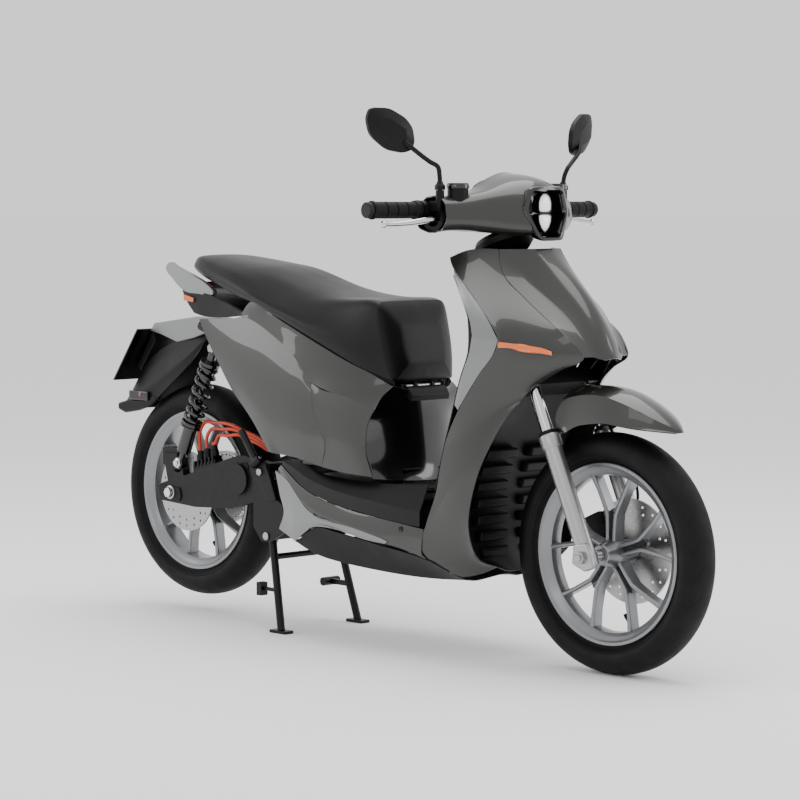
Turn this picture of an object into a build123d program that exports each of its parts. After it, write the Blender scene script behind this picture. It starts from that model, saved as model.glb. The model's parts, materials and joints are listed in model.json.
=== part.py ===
from build123d import *
import math
import os

# Electric moped scooter, millimetres. +X forward, +Y to the rider's left, +Z up.
# Origin: on the ground, midway between the axles, in the plane of symmetry.

# ------------------------------------------------------------------ driving dimensions
WHEELBASE = 1290.0
DRAWN_WHEELBASE = 1290.0  # the wheelbase that the stations along X are given for
FLOOR_HALF = 240.0        # the floor between the front and rear groups, half its length
TYRE_R = 251.0            # 90/80-14 tyre, outside
FRONT_TYRE_W = 88.0
REAR_TYRE_W = 98.0
RIM_R = 189.0             # rim flange, outside
RIM_WALL = 6.0
FRONT_RIM_W = 59.0
REAR_RIM_W = 77.0
REAR_AXLE_Z = 290.5       # the centre stand holds the rear wheel off the ground
RAKE = 24.0               # steering axis from the vertical, degrees
FORK_OFFSET = 30.0        # fork legs ahead of the steering axis
LEG_Y = 85.0              # fork leg from the middle plane
STANCHION_R = 13.5
SLIDER_R = 19.0
FORK_TRAVEL = 80.0
CROWN_AT = 385.0          # middle of the fork crown, up the steering axis from the axle
CROWN_H = 28.0
STEM_R = 14.0
HEAD_R = 26.0
HEAD_TOP = 590.0          # top of the head tube, up the steering axis
CLAMP_AT = 786.0          # handlebar clamp, up the steering axis
BAR_R = 11.0
BAR_SWEEP = 6.0           # degrees back, outboard of the straight middle
BAR_STRAIGHT = 60.0       # half of the straight middle
BAR_END = 350.0           # grip end from the middle plane
GRIP_LEN = 127.0
GRIP_R = 17.0
AXLE_R = 7.5
RUN = 0.05                # radial clearance of a running fit
WALL = 3.0                # moulded panel wall
PIVOT_X = -315.0          # swingarm pivot
PIVOT_Z = 362.0
PIVOT_R = 8.0
ARM_LIFT = 11.0           # swingarm travel, degrees
ARM_Y = 88.0              # inner face of each swingarm beam
ARM_T = 22.0
PLATE_Y = 112.0           # inner face of each pivot plate
PLATE_T = 6.0
SHOCK_Y = 101.0
SHOCK_EYE_W = 14.0
SHOCK_TOP = (-497.0, 636.0)
SHOCK_LOW = (-622.0, 361.0)
SPRING_R = 23.0
CABLE_R = 4.0
STAND_X = -300.0          # centre stand pivot
STAND_Z = 216.0
STAND_FOOT_X = -249.0
STAND_FOOT_Y = 119.5
STAND_TUBE_R = 9.0
FLOOR_Z = 363.0
SEAT_HINGE = (82.0, 572.0)
FRONT_DISC_R = 110.0
REAR_DISC_R = 95.0
DISC_T = 4.0
SPROCKET_R = 80.0
DRIVE_SPROCKET_R = 25.0
SPROCKET_T = 6.0
CHAIN_Y = 65.0            # chain line, left side
MOTOR_X = -440.0
MOTOR_Z = 324.0
MOTOR_R = 46.0
SHAFT_R = 8.0
LEVER_Y = 165.0           # brake lever pivot from the middle plane
LEVER_TIP = (293.0, BAR_END - 25, 928.0)
MIRROR_BASE = (324.0, 190.0)
RESERVOIR = (338.0, 151.0)

FRONT = (DRAWN_WHEELBASE / 2, TYRE_R)
REAR = (-DRAWN_WHEELBASE / 2, REAR_AXLE_Z)
UP = Vector(-math.sin(math.radians(RAKE)), 0, math.cos(math.radians(RAKE)))
AHEAD = Vector(math.cos(math.radians(RAKE)), 0, math.sin(math.radians(RAKE)))
STEER_FOOT = Vector(FRONT[0], 0, FRONT[1]) - AHEAD * FORK_OFFSET
RIGHT, LEFT = -1, 1
NODES = {}


# ------------------------------------------------------------------ helpers
def put(name, *pieces):
    """File a node's pieces; each stays a solid of its own."""
    solids = []
    for piece in pieces:
        solids += list(piece.solids())
    NODES[name] = solids


def at(x):
    """Where a station comes once the wheelbase is set: the front and rear groups go with
    their axle, and the floor between them stretches."""
    grow = (WHEELBASE - DRAWN_WHEELBASE) / 2
    return x + grow * max(-1.0, min(1.0, x / FLOOR_HALF))


def placed(point):
    """A point given for the drawn wheelbase, moved to its place."""
    x, y, z = point
    return Vector(at(x), y, z)


def steer(along, side=0.0, ahead=0.0):
    """A point in the fork's own directions: up the steering axis, to the left, ahead."""
    return STEER_FOOT + UP * along + AHEAD * ahead + Vector(0, side, 0)


def rod(a, b, r, bore=0.0):
    """Round bar or tube from point a to point b."""
    start = placed(a)
    run = placed(b) - start
    plane = Plane(origin=start, z_dir=run)
    bar = extrude(plane * Circle(r), run.length)
    return bar - extrude(plane * Circle(bore), run.length) if bore else bar


def cross(place, y0, y1, r, bore=0.0):
    """Round bar or tube along Y through place (x, z)."""
    return rod((place[0], y0, place[1]), (place[0], y1, place[1]), r, bore)


def slab(outline, y0, y1):
    """Plate or block: an outline in X and Z, as thick as y0 to y1."""
    plane = Plane(origin=(0, y1, 0), x_dir=(1, 0, 0), z_dir=(0, -1, 0))
    corners = [(at(x), z) for x, z in outline]
    return extrude(plane * Polygon(*corners, align=None), y1 - y0, dir=(0, -1, 0))


def block(low, high):
    """Box between two corners."""
    low, high = placed(low), placed(high)
    size = high - low
    mid = (high + low) * 0.5
    return Pos(*mid) * Box(*size)


def bent(points, radius, r):
    """Round tube along straight runs joined by tangent arcs."""
    path = FilletPolyline(*[placed(point) for point in points], radius=radius)
    return sweep(Plane(origin=path @ 0, z_dir=path % 0) * Circle(r), path=path)


def flip(shape):
    return mirror(shape, about=Plane.XZ)


def both(shape):
    """The right-hand piece and its mirror image on the left."""
    return [shape, flip(shape)]


def crossed(points, side):
    """Points given for the right side as x, distance from the middle, z."""
    return [placed((x, side * s, z)) for x, s, z in points]


def skin(rows, wall, inward):
    """Thin closed panel. rows holds the outer face's points row by row, and the
    inner face is set in by the wall, to the side of the point named inward."""
    count, width = len(rows), len(rows[0])
    inner = []
    for i, row in enumerate(rows):
        line = []
        for j, point in enumerate(row):
            across = row[min(j + 1, width - 1)] - row[max(j - 1, 0)]
            down = rows[min(i + 1, count - 1)][j] - rows[max(i - 1, 0)][j]
            normal = across.cross(down).normalized()
            if normal.dot(inward - point) < 0:
                normal = -normal
            line.append(point + normal * wall)
        inner.append(line)
    return sewn(rows, inner)


def sewn(outer, inner):
    """Solid between two sheets of points with the same rows and columns."""
    count, width = len(outer), len(outer[0])
    faces = []

    def patch(a, b, c, d):
        for corners in ((a, b, c), (a, c, d)):
            area = (corners[1] - corners[0]).cross(corners[2] - corners[0]).length
            if area > 1e-6:
                faces.append(Face(Wire.make_polygon(corners, close=True)))

    for sheet in (outer, inner):
        for i in range(count - 1):
            for j in range(width - 1):
                patch(sheet[i][j], sheet[i][j + 1], sheet[i + 1][j + 1], sheet[i + 1][j])
    for i in range(count - 1):
        for j in (0, width - 1):
            patch(outer[i][j], outer[i + 1][j], inner[i + 1][j], inner[i][j])
    for j in range(width - 1):
        for i in (0, count - 1):
            patch(outer[i][j], outer[i][j + 1], inner[i][j + 1], inner[i][j])
    solid = Solid(Shell(faces))
    return solid if solid.volume > 0 else Solid(solid.wrapped.Reversed())


def lofted(rings):
    """Closed solid through rings that hold the same number of points."""
    faces = []
    count = len(rings[0])

    def patch(*corners):
        if (corners[1] - corners[0]).cross(corners[2] - corners[0]).length > 1e-6:
            faces.append(Face(Wire.make_polygon(corners, close=True)))

    for near, far in zip(rings, rings[1:]):
        for k in range(count):
            m = (k + 1) % count
            patch(near[k], near[m], far[m])
            patch(near[k], far[m], far[k])
    for ring in (rings[0], rings[-1]):
        middle = sum(ring, Vector(0, 0, 0)) * (1 / count)
        for k in range(count):
            patch(middle, ring[k], ring[(k + 1) % count])
    solid = Solid(Shell(faces))
    return solid if solid.volume > 0 else Solid(solid.wrapped.Reversed())


def apart(pieces):
    """Cut each piece back by the ones before it, so welded pieces only touch."""
    kept = []
    for piece in pieces:
        for other in kept:
            piece = piece - other
        kept.append(max(piece.solids(), key=lambda solid: solid.volume))
    return kept


def wheel(centre, width, hub_right, hub_left):
    """Cast wheel: rim barrel, hub and five forked spokes, with its axle bore."""
    x, z = centre
    x = at(x)
    half = width / 2
    well = RIM_R - 17.0
    profile = [
        (well - RIM_WALL, -half + 4), (RIM_R - RIM_WALL, -half), (RIM_R, -half), (RIM_R, -half + 5),
        (well + 4, -half + 9), (well, -half + 20), (well, half - 20), (well + 4, half - 9),
        (RIM_R, half - 5), (RIM_R, half), (RIM_R - RIM_WALL, half), (well - RIM_WALL, half - 4)]
    spun = Plane(origin=(x, 0, z), x_dir=(0, 0, 1), z_dir=(-1, 0, 0))
    rim = revolve(spun * Polygon(*profile, align=None), Axis((x, 0, z), (0, 1, 0)))
    hub = cross(centre, hub_right, hub_left, 30.0)
    piece = rim + hub
    reach = well - RIM_WALL + 1.5
    for k in range(SPOKES):
        middle = math.radians(360 / SPOKES * k + 90)
        fork = (centre[0] + FORK_AT * math.cos(middle), z + FORK_AT * math.sin(middle))
        piece += spoke_bar(centre, fork, 17.0, 14.0)
        for turn in (-SPOKE_SPREAD, SPOKE_SPREAD):
            end = middle + math.radians(turn)
            foot = (centre[0] + reach * math.cos(end), z + reach * math.sin(end))
            piece += spoke_bar(fork, foot, 8.0, 7.0)
    return piece - cross(centre, hub_right - 1, hub_left + 1, AXLE_R + RUN)


def spoke_bar(a, b, half_a, half_b):
    """Tapered bar between two places in the wheel's plane."""
    run = Vector(b[0] - a[0], 0, b[1] - a[1]).normalized()
    off = Vector(-run.Z, 0, run.X)
    start, end = Vector(a[0], 0, a[1]), Vector(b[0], 0, b[1])
    corners = [start + off * half_a, end + off * half_b, end - off * half_b, start - off * half_a]
    return slab([(c.X, c.Z) for c in corners], -SPOKE_T / 2, SPOKE_T / 2)


def tyre(centre, width, rim_width):
    """Tyre with a round crown, its beads seated between the rim's flanges."""
    x, z = centre
    x = at(x)
    half = width / 2
    bead_r, bead_y = RIM_R - 17.0 + 4.6, rim_width / 2 - 9.6
    lip_y = rim_width / 2 - 5.5
    spun = Plane(origin=(x, 0, z), x_dir=(0, 0, 1), z_dir=(-1, 0, 0))
    outer = Spline((RIM_R, -lip_y), (RIM_R + 24, -half), (TYRE_R - 9, -half * 0.64), (TYRE_R, 0),
                   (TYRE_R - 9, half * 0.64), (RIM_R + 24, half), (RIM_R, lip_y))
    inner = Polyline((RIM_R, lip_y), (bead_r, bead_y), (bead_r, bead_y - 8), (RIM_R + 24, half - 7),
                     (TYRE_R - 17, half * 0.55), (TYRE_R - 9, 0), (TYRE_R - 17, -half * 0.55),
                     (RIM_R + 24, -half + 7), (bead_r, -bead_y + 8), (bead_r, -bead_y), (RIM_R, -lip_y))
    face = make_face(spun * (Curve() + [outer, inner]))
    return revolve(face, Axis((x, 0, z), (0, 1, 0)))


def disc(centre, y0, y1, r, hub_hole):
    """Brake disc with a ring of drilled holes and a hole that clears the axle."""
    piece = cross(centre, y0, y1, r, hub_hole)
    for ring, count in ((r - 12, 20), (r - 26, 16)):
        for k in range(count):
            turn = 2 * math.pi * k / count
            spot = (centre[0] + ring * math.cos(turn), centre[1] + ring * math.sin(turn))
            piece -= cross(spot, y0 - 1, y1 + 1, 3.0)
    return piece


def sprocket(centre, y0, y1, r, teeth, hub_hole):
    """Toothed wheel: a disc with a gap between each pair of teeth."""
    piece = cross(centre, y0, y1, r, hub_hole)
    for k in range(teeth):
        turn = 2 * math.pi * k / teeth
        spot = (centre[0] + r * math.cos(turn), centre[1] + r * math.sin(turn))
        piece -= cross(spot, y0 - 1, y1 + 1, 4.0)
    return piece


# ------------------------------------------------------------------ frame
SPOKES = 5
SPOKE_SPREAD = 17.0
SPOKE_T = 26.0
FORK_AT = 88.0
RAIL_R = 14.0
RAIL_Y = 90.0
RAIL_Z = 255.0
RAIL_FRONT = 262.0
RAIL_REAR = -236.0
SEAT_RAIL_Y = 66.0
SEAT_RAIL_R = 12.0
SEAT_POST_Y = 60.0
SEAT_POST_R = 8.0
SEAT_PIN_R = 5.0
STAND_PIN_R = 6.0
PEG_AT = (-320.0, 131.0, 386.0)
PEG_PIN_R = 4.0
PEG_UP = Vector(-0.6, 0, 0.8)
PEG_HINGE = Vector(0.8, 0, 0.6)
PEG_HALF = 12.0
PIVOT = (PIVOT_X, PIVOT_Z)
STAND = (STAND_X, STAND_Z)
PLATE_OUT = PLATE_Y + PLATE_T
STUD_R = 6.0


def seat_rail(side, r):
    """Tube from the rear cross tube up under the seat."""
    s = side * SEAT_RAIL_Y
    route = [(RAIL_REAR, s, RAIL_Z), (-262, s, 362), (-280, s, 470), (-330, s, 600), (-584, s, 685)]
    return bent(route, 40, r)


def frame_piece():
    """Welded steel frame: head tube, down tube, rails, posts, cross tubes and plates."""
    head_foot = CROWN_AT + CROWN_H / 2 + 3
    head = rod(steer(head_foot), steer(HEAD_TOP), HEAD_R, STEM_R + RUN)
    front_cross = cross((RAIL_FRONT, RAIL_Z), -RAIL_Y - RAIL_R, RAIL_Y + RAIL_R, RAIL_R)
    rear_cross = cross((RAIL_REAR, RAIL_Z), -PLATE_Y, PLATE_Y, RAIL_R)
    post_cross = cross((66, RAIL_Z), -RAIL_Y, RAIL_Y, 11.0)
    down = bent([steer(480, 0, -20), (330, 0, 480), (RAIL_FRONT, 0, RAIL_Z)], 80, 19)
    pieces = [head, front_cross, rear_cross, down]
    stem_hole = rod(steer(head_foot - 1), steer(HEAD_TOP + 1), STEM_R + RUN)
    pieces[3] = down - stem_hole
    for side in (RIGHT, LEFT):
        y = side * RAIL_Y
        pieces.append(rod((RAIL_FRONT, y, RAIL_Z), (RAIL_REAR, y, RAIL_Z), RAIL_R))
        pieces.append(seat_rail(side, SEAT_RAIL_R))
    pieces.append(post_cross)
    for side in (RIGHT, LEFT):
        y = side * SEAT_POST_Y
        pieces.append(rod((66, y, RAIL_Z), (SEAT_HINGE[0], y, SEAT_HINGE[1] + 6), SEAT_POST_R))
    plate_line = [(-335, 378), (-292, 378), (-262, 300), (-222, 275), (-222, 240), (-285, 203),
                  (-318, 203), (-345, 235), (-345, 345)]
    plate = slab(plate_line, -PLATE_OUT, -PLATE_Y)
    plate -= cross(PIVOT, -PLATE_OUT, -PLATE_Y, PIVOT_R)
    plate -= cross(STAND, -PLATE_OUT, -PLATE_Y, STAND_PIN_R)
    pieces += both(plate)
    inner = SEAT_RAIL_Y + SEAT_RAIL_R - 3
    x, z = SHOCK_TOP
    tab = slab([(x - 18, z + 36), (x - 14, z - 10), (x + 14, z - 10), (x + 26, z + 34)],
               -inner - 7, -inner)
    stud = cross(SHOCK_TOP, -SHOCK_Y - SHOCK_EYE_W / 2 - 6, -inner - 7, STUD_R)
    pieces += both(tab) + both(stud)
    ears = []
    peg_seat = Vector(PEG_AT[0], -PEG_AT[1], PEG_AT[2])
    for end in (-1, 1):
        mid = peg_seat + PEG_HINGE * (end * (PEG_HALF + 2)) + Vector(0, (PEG_AT[1] - PLATE_OUT) / 2, 0)
        plane = Plane(origin=placed(mid), x_dir=PEG_HINGE, z_dir=(0, 1, 0))
        ear = extrude(plane * Rectangle(4, 18), (PEG_AT[1] - PLATE_OUT) / 2, both=True)
        ear += rod(mid - PEG_HINGE * 2 + Vector(0, -6.5, 0), mid + PEG_HINGE * 2 + Vector(0, -6.5, 0), 9)
        pin = rod(peg_seat - PEG_HINGE * 20, peg_seat + PEG_HINGE * 20, PEG_PIN_R)
        ears.append(ear - pin)
    for ear in ears:
        pieces += both(ear)
    put("frame", *apart(pieces))


frame_piece()

put("battery_pack", block((-205, -95, 385), (50, 95, 545)))
fins = block((88, -70, 268), (228, 70, 320))
for k in range(9):
    y = -60 + 15 * k
    fins -= block((80, y - 3, 308), (240, y + 3, 330))
put("controller", fins)

# ------------------------------------------------------------------ front body panels

def pair_skin(rows, inward, wall=WALL):
    """The right-hand panel from rows of (x, distance from the middle, z), and its mirror."""
    right = skin([crossed(row, RIGHT) for row in rows], wall, Vector(*inward))
    return both(right)


def wide_skin(rows, inward, wall=WALL):
    """One panel right across the middle, from rows that end at the middle plane."""
    full = []
    for row in rows:
        right = crossed(row, RIGHT)
        left = crossed(row, LEFT)[:-1]
        full.append(right + left[::-1])
    return skin(full, wall, Vector(*inward))


SHIELD_EDGE = [(338, 165, 820), (375, 178, 773), (409, 188, 727), (417, 190, 699), (407, 188, 664),
               (377, 180, 611), (356, 175, 562)]
ACCENT_EDGE = [(345, 166, 829), (394, 175, 789), (449, 182, 737), (478, 178, 691), (462, 178, 659),
               (396, 176, 587), (358, 173, 541)]

nose_rows = [
    [(396, 88, 876), (424, 70, 876), (454, 50, 876), (460, 0, 876)],
    [(422, 101, 820), (444, 71, 820), (508, 28, 820), (545, 0, 822)],
    [(470, 94, 780), (492, 65, 780), (560, 28, 777), (590, 0, 779)],
    [(527, 89, 737), (560, 56, 740), (592, 28, 734), (619, 0, 737)],
    [(588, 84, 696), (602, 50, 697), (620, 28, 692), (637, 0, 697)],
    [(621, 69, 657), (626, 46, 657), (637, 26, 652), (645, 0, 654)],
]
put("nose_panel", wide_skin(nose_rows, (300, 0, 600)))

shield_rows = [
    [(312, 148, 858), (340, 130, 870), (366, 108, 874), (393, 91, 874)],
    [(348, 166, 829), (370, 150, 826), (394, 125, 822), (419, 104, 819)],
    [(397, 175, 788), (420, 152, 786), (444, 122, 783), (467, 97, 779)],
    [(452, 181, 737), (476, 155, 738), (500, 122, 738), (524, 92, 737)],
    [(481, 177, 691), (516, 150, 692), (550, 118, 693), (585, 87, 696)],
    [(465, 177, 659), (515, 152, 652), (566, 112, 652), (617, 74, 655)],
    [(428, 176, 621), (480, 158, 610), (522, 118, 616), (560, 82, 626)],
    [(399, 175, 587), (433, 170, 578), (470, 148, 575), (508, 106, 588)],
    [(361, 172, 541), (400, 168, 540), (438, 160, 539), (478, 140, 539)],
    [(318, 166, 469), (359, 170, 469), (400, 168, 469), (440, 160, 469)],
    [(301, 165, 413), (340, 170, 413), (376, 170, 413), (412, 165, 413)],
    [(283, 165, 342), (320, 171, 342), (354, 171, 342), (388, 165, 342)],
    [(264, 168, 300), (305, 172, 300), (344, 172, 300), (384, 165, 300)],
    [(256, 168, 240), (300, 164, 236), (344, 158, 236), (387, 150, 240)],
    [(316, 140, 198), (340, 132, 200), (366, 126, 205), (392, 118, 214)],
]
put("leg_shields", *pair_skin(shield_rows, (300, 0, 500)))

accent = pair_skin([SHIELD_EDGE, [(x - 1.5, s, z) for x, s, z in ACCENT_EDGE]], (300, 0, 680))
SKIRT_TOP = [(-230, 151, 366), (-189, 159, 355), (-147, 167, 328), (-111, 171, 300), (-77, 173, 284),
             (43, 175, 267), (130, 176, 252), (152, 176, 245)]
SKIRT_LOW = [(-222, 151, 242), (-190, 151, 231), (-165, 151, 222), (-120, 161, 245), (-80, 171, 263),
             (30, 173, 256), (110, 174, 247), (146, 175, 242)]
skirt_accent = pair_skin([SKIRT_TOP, SKIRT_LOW], (0, 0, 260))
put("silver_accents", *accent, *skirt_accent)

lamp_rows = [[(486, 181, 687), (525, 155, 681), (563, 127, 673)],
             [(486, 182, 677), (527, 156, 671), (567, 126, 664)]]
side_lens = block((-588, -114.5, 742), (-558, -112, 753))
put("amber_lenses", *pair_skin(lamp_rows, (300, 0, 680)), *both(side_lens))

inner_rows = [
    [(313, 143, 852), (300, 100, 852), (292, 0, 852)],
    [(343, 161, 800), (308, 100, 800), (298, 0, 800)],
    [(398, 181, 727), (328, 110, 727), (302, 0, 727)],
    [(397, 181, 664), (333, 110, 664), (302, 0, 664)],
    [(362, 171, 600), (320, 110, 600), (296, 0, 600)],
    [(326, 162, 519), (300, 110, 519), (286, 0, 519)],
    [(300, 157, 453), (280, 110, 453), (266, 0, 453)],
    [(284, 156, 397), (260, 110, 397), (245, 0, 397)],
    [(266, 152, 369), (240, 100, 369), (234, 0, 369)],
]
deck_right = [(306, -124), (388, -84), (444, -46), (448, 0)]
deck_left = [(x, -y) for x, y in deck_right[-2::-1]]
deck = extrude(Pos(0, 0, 852) * Polygon(*[(at(x), y) for x, y in deck_right + deck_left], align=None), 4)
deck -= rod(steer(660), steer(760), STEM_R + 18)
put("inner_leg_shield", wide_skin(inner_rows, (450, 0, 600)), deck)

grille_rows = [
    [(350, 112, 205), (350, 60, 202), (350, 0, 202)],
    [(347, 136, 270), (347, 70, 270), (347, 0, 270)],
    [(345, 142, 340), (345, 70, 340), (345, 0, 340)],
    [(355, 143, 400), (355, 70, 400), (355, 0, 400)],
    [(372, 136, 450), (372, 70, 450), (372, 0, 450)],
    [(398, 122, 505), (398, 60, 505), (398, 0, 505)],
    [(424, 104, 548), (424, 50, 548), (424, 0, 548)],
]
grille = wide_skin(grille_rows, (200, 0, 400))
for side in (RIGHT, LEFT):
    for k in range(6):
        z = 232 + 34 * k
        grille -= block((330, min(side * 26, side * 102), z), (380, max(side * 26, side * 102), z + 12))
put("front_grille", grille)

# ------------------------------------------------------------------ floor and skirts
floor_line = [(-200, -128), (225, -126), (229, 0), (225, 126), (-200, 128)]
floor = extrude(Pos(0, 0, FLOOR_Z - 11) * Polygon(*[(at(x), y) for x, y in floor_line], align=None), 8)
for k in range(16):
    y = 14 * k - 109
    floor += block((124, y, FLOOR_Z - 3.5), (222, y + 7, FLOOR_Z))
for side in (RIGHT, LEFT):
    y = side * SEAT_POST_Y
    floor -= rod((66, y, RAIL_Z), (SEAT_HINGE[0], y, SEAT_HINGE[1]), SEAT_POST_R + 1.5)
floor -= block((-160, -131, FLOOR_Z - 12), (40, 131, FLOOR_Z - 9))
put("floorboard", floor)

skirt_rows = [
    [(-200, 132, 372), (-140, 132, 368), (-80, 132, 366), (10, 131, 364), (100, 130, 364),
     (180, 130, 364), (226, 128, 366)],
    [(-207, 150, 392), (-136, 158, 374), (-76, 163, 349), (12, 165, 338), (108, 165, 328),
     (183, 165, 321), (256, 163, 315)],
    [(-220, 152, 380), (-140, 164, 351), (-80, 169, 330), (-7, 170, 313), (113, 171, 298),
     (198, 170, 290), (246, 168, 286)],
    [(-227, 152, 374), (-147, 167, 336), (-76, 173, 292), (43, 175, 274), (130, 176, 259),
     (198, 175, 249), (246, 171, 241)],
]
put("side_skirts", *pair_skin(skirt_rows, (0, 0, 260)))

belly_rows = []
BELLY_SIDE = [(-160, 147, 212), (-106, 164, 243), (-60, 168, 254), (30, 170, 248), (110, 171, 239),
              (170, 172, 232), (246, 168, 222)]
BELLY_FOLD = [(-160, 136, 204), (-112, 138, 192), (-45, 135, 182), (30, 131, 175), (110, 125, 170),
              (190, 120, 167), (290, 104, 171)]
BELLY_FLAT = [(-160, 0, 200), (-112, 0, 187), (-45, 0, 177), (30, 0, 170), (110, 0, 167),
              (190, 0, 166), (338, 0, 186)]
for top, fold, flat in zip(BELLY_SIDE, BELLY_FOLD, BELLY_FLAT):
    belly_rows.append([top, fold, (flat[0], 62, flat[2] + 1), flat])
put("belly_pan", wide_skin(belly_rows, (60, 0, 320)))

# ------------------------------------------------------------------ rear body
side_rows = [
    [(-532, 117, 702), (-448, 122, 708), (-364, 128, 714), (-329, 137, 742), (-219, 142, 708),
     (-117, 141, 666), (-25, 132, 627), (55, 112, 592), (82, 94, 575)],
    [(-500, 120, 657), (-440, 130, 665), (-370, 137, 664), (-300, 141, 664), (-215, 143, 646),
     (-124, 143, 624), (-40, 143, 596), (30, 141, 560), (70, 139, 528)],
    [(-455, 124, 600), (-410, 134, 603), (-350, 139, 600), (-280, 142, 590), (-200, 144, 575),
     (-124, 145, 557), (-50, 145, 540), (20, 143, 520), (50, 142, 500)],
    [(-404, 130, 547), (-370, 136, 545), (-320, 140, 540), (-260, 143, 528), (-190, 146, 515),
     (-124, 147, 500), (-60, 146, 490), (10, 144, 480), (49, 142, 470)],
    [(-326, 138, 480), (-305, 140, 478), (-270, 143, 474), (-225, 145, 466), (-170, 148, 458),
     (-120, 150, 450), (-60, 148, 440), (5, 145, 434), (49, 142, 430)],
    [(-256, 146, 408), (-240, 147, 408), (-220, 148, 406), (-190, 148, 404), (-160, 148, 400),
     (-120, 147, 392), (-60, 145, 384), (10, 143, 379), (68, 141, 377)],
]
put("side_panels", *pair_skin(side_rows, (-200, 0, 500)))

cover_rows = [
    [(85, 86, 572), (95, 62, 560), (101, 0, 546)],
    [(74, 134, 526), (93, 86, 530), (105, 0, 533)],
    [(54, 139, 500), (96, 84, 500), (109, 0, 500)],
    [(53, 139, 474), (99, 82, 474), (112, 0, 474)],
    [(53, 139, 430), (100, 82, 430), (114, 0, 430)],
    [(72, 138, 378), (104, 82, 376), (114, 0, 374)],
]
put("underseat_cover", wide_skin(cover_rows, (0, 0, 450)))

tub = block((-252, -100, 552), (-52, 100, 635))
tub -= block((-249, -97, 556), (-55, 97, 636))
for side in (RIGHT, LEFT):
    tub -= seat_rail(side, SEAT_RAIL_R + 1)
put("storage_tub", *[max(tub.solids(), key=lambda solid: solid.volume)])


def box_ring(x, half, low, high):
    """Four corners of a section across the body."""
    return [placed(corner) for corner in ((x, -half, low), (x, half, low), (x, half, high), (x, -half, high))]


TAIL = [(-606, 98, 742, 763), (-575, 104, 726, 763), (-545, 108, 714, 763), (-483, 112, 711, 752),
        (-440, 116, 711, 744), (-400, 119, 713, 734), (-368, 122, 714, 722)]
tail = lofted([box_ring(*t) for t in TAIL])
tail -= lofted([box_ring(x, half - 3, low + 3, high + 9) for x, half, low, high in TAIL[1:-1]])
put("tail_panel", tail)

rail_line = [(-659, 814), (-647, 831), (-628, 826), (-565, 804), (-523, 788), (-489, 769), (-494, 757),
             (-540, 766), (-600, 767), (-637, 796)]
put("grab_rails", *both(slab(rail_line, -112, -99)))
lamp = lofted([box_ring(-624, 70, 752, 778), box_ring(-608, 84, 746, 784)])
put("red_lenses", lamp, *both(block((-640, -94, 748), (-634, -78, 756))))

MUD_LINE = [(-590, 698), (-631, 702), (-786, 682), (-799, 664), (-848, 560), (-895, 480), (-886, 467),
            (-817, 475), (-763, 492), (-706, 532), (-640, 590), (-590, 636)]
MUD_HALF = 64.0
TYRE_ROOM = TYRE_R + 10
mudguard = slab(MUD_LINE, -MUD_HALF, MUD_HALF)
lift = math.radians(ARM_LIFT)
arm_x, arm_z = REAR[0] - PIVOT_X, REAR[1] - PIVOT_Z
lifted = (PIVOT_X + arm_x * math.cos(lift) + arm_z * math.sin(lift),
          PIVOT_Z - arm_x * math.sin(lift) + arm_z * math.cos(lift))
room = cross(REAR, -MUD_HALF + 4, MUD_HALF - 4, TYRE_ROOM)
room += cross(lifted, -MUD_HALF + 4, MUD_HALF - 4, TYRE_ROOM)
mudguard -= room
hollow = slab([(-594, 694), (-631, 698), (-783, 678), (-795, 662), (-844, 559), (-889, 482), (-883, 471),
               (-800, 482), (-700, 560), (-594, 640)], -MUD_HALF + 4, MUD_HALF - 4)
for centre in (REAR, lifted):
    hollow -= cross(centre, -MUD_HALF, MUD_HALF, TYRE_ROOM + 4)
mudguard -= hollow
PLATE_HALF = 80.0
PLATE_END = -(DRAWN_WHEELBASE / 2 + TYRE_R)
plate_face = [(-803, 668), (PLATE_END + 3, 542), (PLATE_END, 544), (-806, 670)]
number_plate = slab(plate_face, -PLATE_HALF, PLATE_HALF)
holder = slab([(-799.5, 663), (-846, 572), (-874, 572), (-804, 667)], -30, 30)
mudguard = max(mudguard.solids(), key=lambda solid: solid.volume)
put("rear_mudguard", mudguard, number_plate, holder - number_plate)

# ------------------------------------------------------------------ steering head and handlebar
CROWN_AHEAD = 12.0
CROWN_SIZE = (74.0, 2 * (LEG_Y + 22.0), CROWN_H)
LEG_FOOT = 120.0          # lower end of the stanchion, up the leg from the axle
SLIDER_TOP = 266.0
SLIDER_FOOT = -22.0
BORE_FOOT = 30.0


def crown_plane(along):
    return Plane(origin=placed(steer(along)), x_dir=AHEAD, z_dir=UP)


def leg(low, high, r, bore=0.0):
    """A round piece on the right fork leg, between two heights along it."""
    return rod(steer(low, -LEG_Y, FORK_OFFSET), steer(high, -LEG_Y, FORK_OFFSET), r, bore)


def bar_point(side, reach):
    """Middle of the handlebar at a distance from the middle plane."""
    back = max(reach - BAR_STRAIGHT, 0) * math.tan(math.radians(BAR_SWEEP))
    middle = steer(CLAMP_AT)
    return Vector(middle.X - back, side * reach, middle.Z)


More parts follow.
